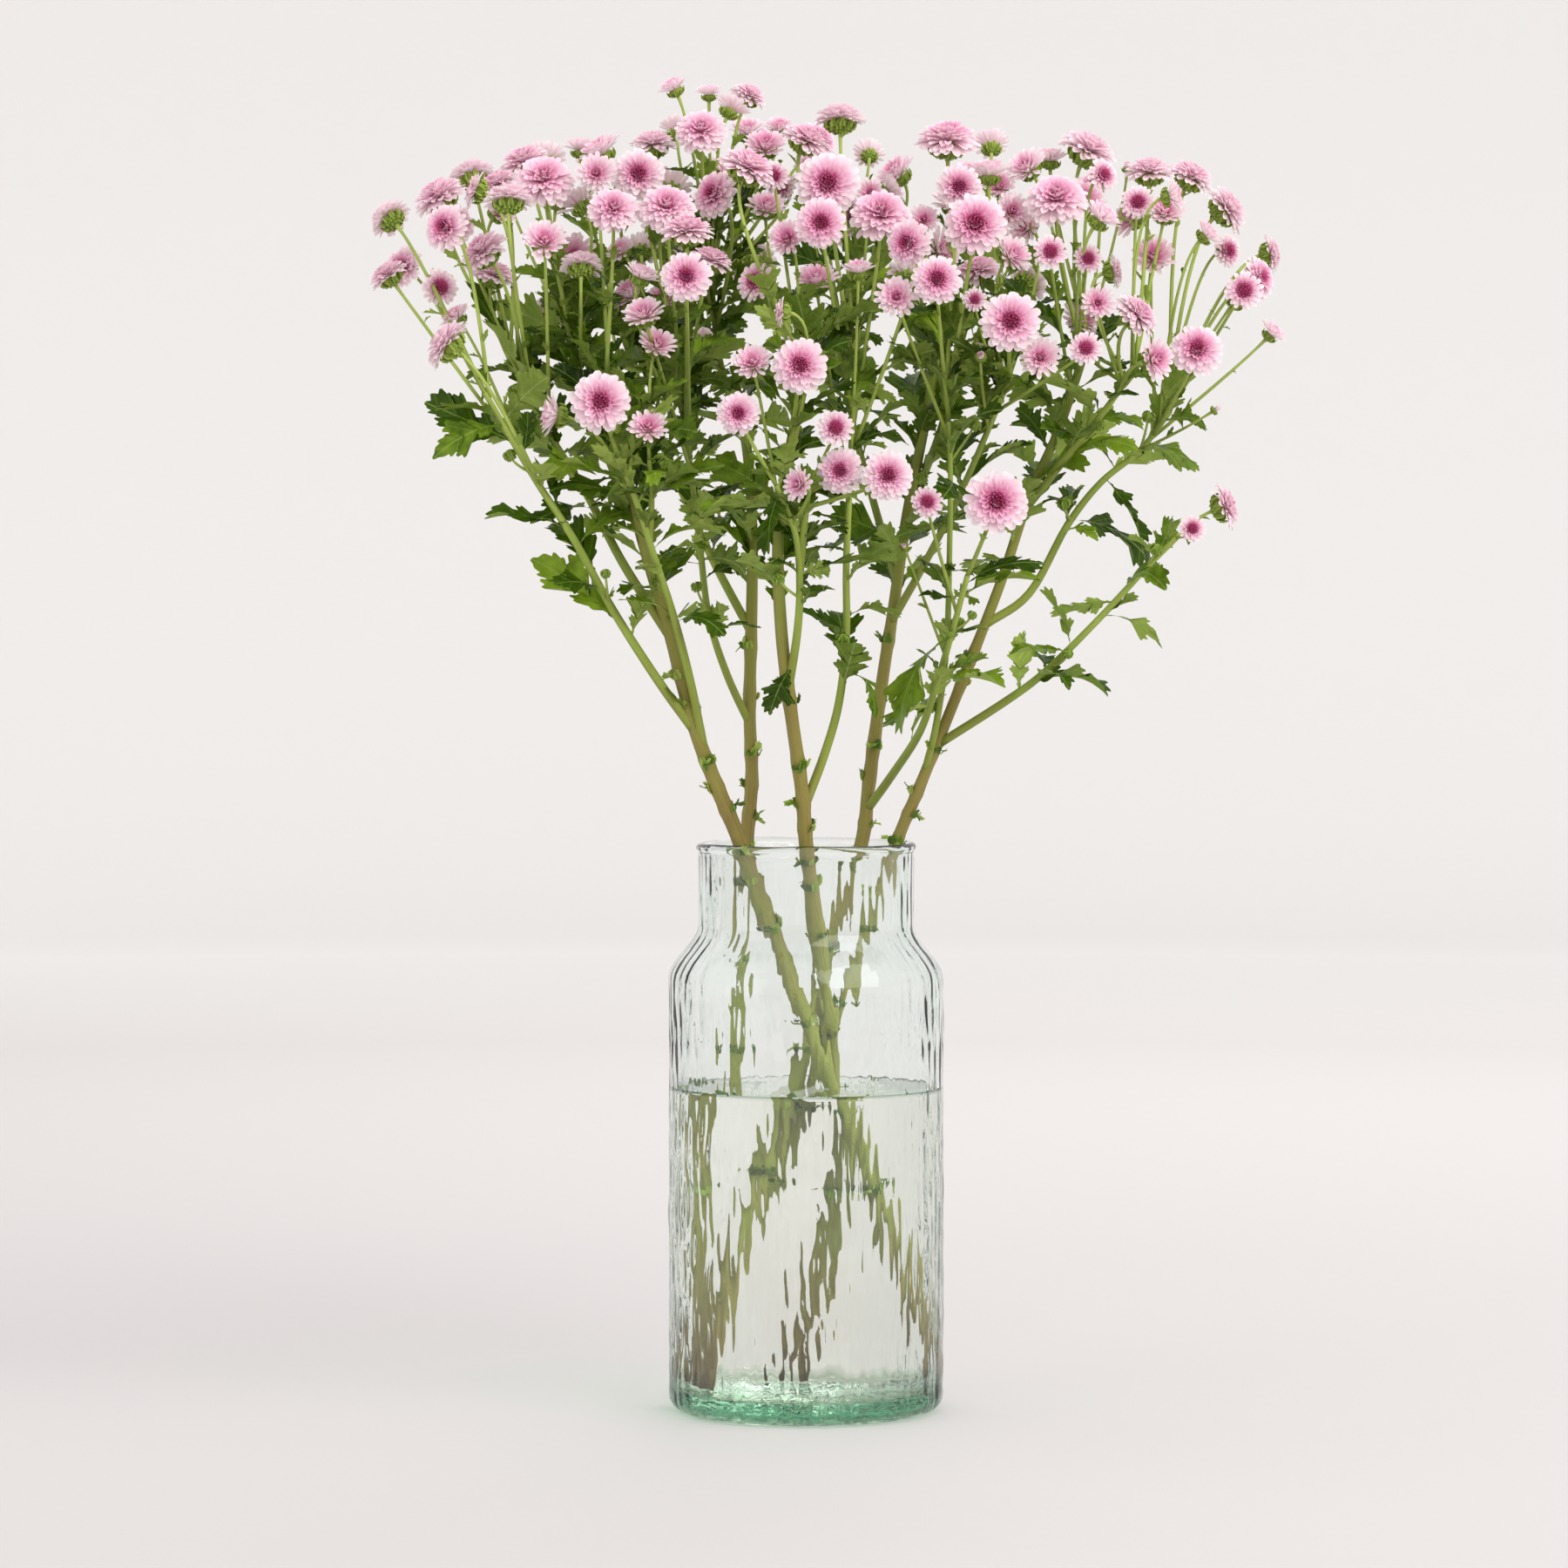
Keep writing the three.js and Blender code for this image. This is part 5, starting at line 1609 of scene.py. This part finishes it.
def wall_middle(height):
    """The radius half way through the wall at that height."""
    rise = SHOULDER_HIGH - SHOULDER_LOW
    ease = smooth_step((height - SHOULDER_LOW + WALL * 0.2) / rise)
    return BODY_RADIUS - WALL / 2 + (NECK_RADIUS - BODY_RADIUS) * ease


def glass_skin(radius, angle, height):
    """Where a point of the glass goes: walls ripple, the floor is wrinkled and the rim wanders a little."""
    if height > RIM_BEGINS:
        x = math.cos(angle)
        y = math.sin(angle)
        share = smooth_step((height - RIM_BEGINS) / 5)
        wander = noise.noise((x * 1.6, y * 1.6, 5.0))
        bead = 0.35 * noise.noise((x * 5, y * 5, 1.0))
        return radius + bead * share, height + share * (0.9 * wander - 0.5)
    if height < FLOOR + 3 and radius < FLOOR_EDGE:
        return radius, max(height + pressed_floor(radius, angle), 0.05)
    share = 1 if radius > wall_middle(height) else INNER_SHARE
    return radius + share * ripple(angle, height), max(height, 0)


def water_outline():
    """The section of the water: it wets the glass and stands up a little along it."""
    wall = BODY_RADIUS - WALL + WATER_BITE
    points = [(radius, FLOOR - WATER_BITE) for radius in range(0, 50, 2)]
    points += quarter(wall, FLOOR - WATER_BITE, CORNER_RADIUS, 5, True)
    points += level_run(wall, FLOOR + CORNER_RADIUS, WATER_LEVEL + WATER_CLIMB, 2.4)
    points += [(wall, WATER_LEVEL + WATER_CLIMB), (wall - 0.5, WATER_LEVEL + 0.15), (wall - 1.2, WATER_LEVEL)]
    points += [(radius, WATER_LEVEL) for radius in range(48, -1, -6)]
    return points


def water_skin(radius, angle, height):
    """Where a point of the water goes: it follows the glass and stays level on top."""
    if height < FLOOR + 3 and radius < FLOOR_EDGE:
        return radius, height + pressed_floor(radius, angle)
    if radius > FLOOR_EDGE + 2:
        return radius + INNER_SHARE * ripple(angle, height), height
    return radius, height


def place_glass():
    """Makes the vase and the water in it."""
    vase = spin_outline("rippled_vase", vase_outline(), ROUND)
    ripple_skin(vase, glass_skin)
    vase.data.materials.append(GREEN_GLASS)
    water = spin_outline("water_in_vase", water_outline(), WATER_ROUND)
    ripple_skin(water, water_skin)
    water.data.materials.append(VASE_WATER)
    for piece, node, slot in ((vase, "vase", "vase_glass"), (water, "water", "water")):
        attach(piece, "root")
        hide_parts(node)


# ---------------------------------------------------------------- room, lamps and camera

COVE_RADIUS = 3400  # of the level floor
COVE_BEND = 1000  # the radius of the turn from floor to wall
COVE_TOP = 1800
COVE_BELOW = 0.3  # how far the floor lies under the vase, so that the two don't touch

PAINT_SPAN = 6.0
# The paint of the floor and the wall, by how far out and up a place lies together, as a share of PAINT_SPAN.
PAINT = [
    (0.1, shade(195, 191, 191)),
    (0.34, shade(205, 201, 200)),
    (0.52, shade(231, 229, 228)),
    (0.7, shade(231, 229, 228)),
]

KEY_AT = (1.9, -1.9, 2.35)
KEY_FOOT = (1.1 * KEY_AT[0], 1.1 * KEY_AT[1], 0)  # the middle of the darker paint, just past the lamp's foot
KEY_SIZE = 3.0
KEY_POWER = 98
FILL_AT = (-1.9, -1.3, 1.1)
FILL_POWER = 6
BACK_AT = (0.5, 1.7, 1.8)
BACK_POWER = 16
SMALL_LAMP_SIZE = 1.4
SKY_STRENGTH = 0.98
BOUNCES = 32


def room_finish():
    """Matt pale paint, darker on the floor and round the key lamp's foot, which take more light."""
    finish = Finish("pale_paint")
    place = finish.node("TexCoord").outputs["Object"]
    height = finish.height(place)
    paint = finish.ramp(finish.math("DIVIDE", finish.add(finish.reach(place), height), PAINT_SPAN), *PAINT)
    away = finish.node("VectorMath", {0: place, 1: KEY_FOOT}, operation="DISTANCE").outputs["Value"]
    reach = {"Value": away, "From Min": 0.3, "From Max": 2.6, "To Min": 0.68, "To Max": 1.0}
    dim = finish.node("MapRange", reach).outputs["Result"]
    colour = finish.node("VectorMath", {0: paint, "Scale": dim}, operation="SCALE").outputs["Vector"]
    return finish.solid({"Base Color": colour, "Roughness": 0.75, "Specular IOR Level": 0.15})


def build_room():
    """A round pale cove: a floor that turns up into a wall all the way round, open at the top."""
    section = [(radius, -COVE_BELOW) for radius in (0, 300, 1200, COVE_RADIUS)]
    for degrees in range(10, 91, 10):
        a = math.radians(degrees)
        rise = COVE_BEND - COVE_BEND * math.cos(a)
        section.append((COVE_RADIUS + COVE_BEND * math.sin(a), rise - COVE_BELOW))
    section.append((COVE_RADIUS + COVE_BEND, COVE_TOP))
    cove = spin_outline("cove", section, 96)
    cove.data.flip_normals()
    cove.data.materials.append(room_finish())
    cove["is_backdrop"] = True


def add_lamp(name, at, aim, size, power, colour):
    """A square soft lamp at a point, turned to another; the glass doesn't mirror it."""
    data = bpy.data.lights.new(name, "AREA")
    data.shape = "SQUARE"
    data.size = size
    data.energy = power
    data.color = colour
    lamp = bpy.data.objects.new(name, data)
    lamp.visible_glossy = False
    lamp.location = at
    lamp.rotation_euler = (Vector(aim) - Vector(at)).to_track_quat("-Z", "Y").to_euler()
    bpy.context.scene.collection.objects.link(lamp)


def build_light():
    """Soft light: a large lamp from the upper right, weaker ones from the left and behind, and a pale sky."""
    world = bpy.data.worlds.new("sky")
    world.use_nodes = True
    sky = world.node_tree.nodes["Background"]
    sky.inputs["Color"].default_value = (1.0, 0.99, 0.985, 1)
    sky.inputs["Strength"].default_value = SKY_STRENGTH
    bpy.context.scene.world = world
    middle = (cad_box[0] + cad_box[1]) / 2
    add_lamp("key", KEY_AT, middle, KEY_SIZE, KEY_POWER, (1.0, 0.99, 0.97))
    add_lamp("fill", FILL_AT, middle, SMALL_LAMP_SIZE, FILL_POWER, (0.98, 0.99, 1.0))
    add_lamp("back", BACK_AT, middle, SMALL_LAMP_SIZE, BACK_POWER, (1.0, 1.0, 1.0))


def build_camera():
    """A long lens, a little above the middle of the whole and tipped down slightly."""
    data = bpy.data.cameras.new("camera")
    data.lens = CAMERA_LENS
    data.sensor_width = 36
    camera = bpy.data.objects.new("camera", data)
    camera.location = CAMERA_AT
    camera.rotation_euler = (math.radians(90 - CAMERA_PITCH), 0, 0)
    bpy.context.scene.collection.objects.link(camera)
    bpy.context.scene.camera = camera


build_camera()
place_stems()
place_leaves()
place_heads()
place_scraps()
place_glass()
build_room()
build_light()
bpy.context.scene.view_settings.view_transform = "Standard"

# Light is followed far through the glass, because its edges come out black otherwise.
bpy.context.scene.cycles.max_bounces = BOUNCES
bpy.context.scene.cycles.transmission_bounces = BOUNCES

boxes = {"cad": cad_box, "visual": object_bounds()}
{name: [list(corner) for corner in box] for name, box in boxes.items()}
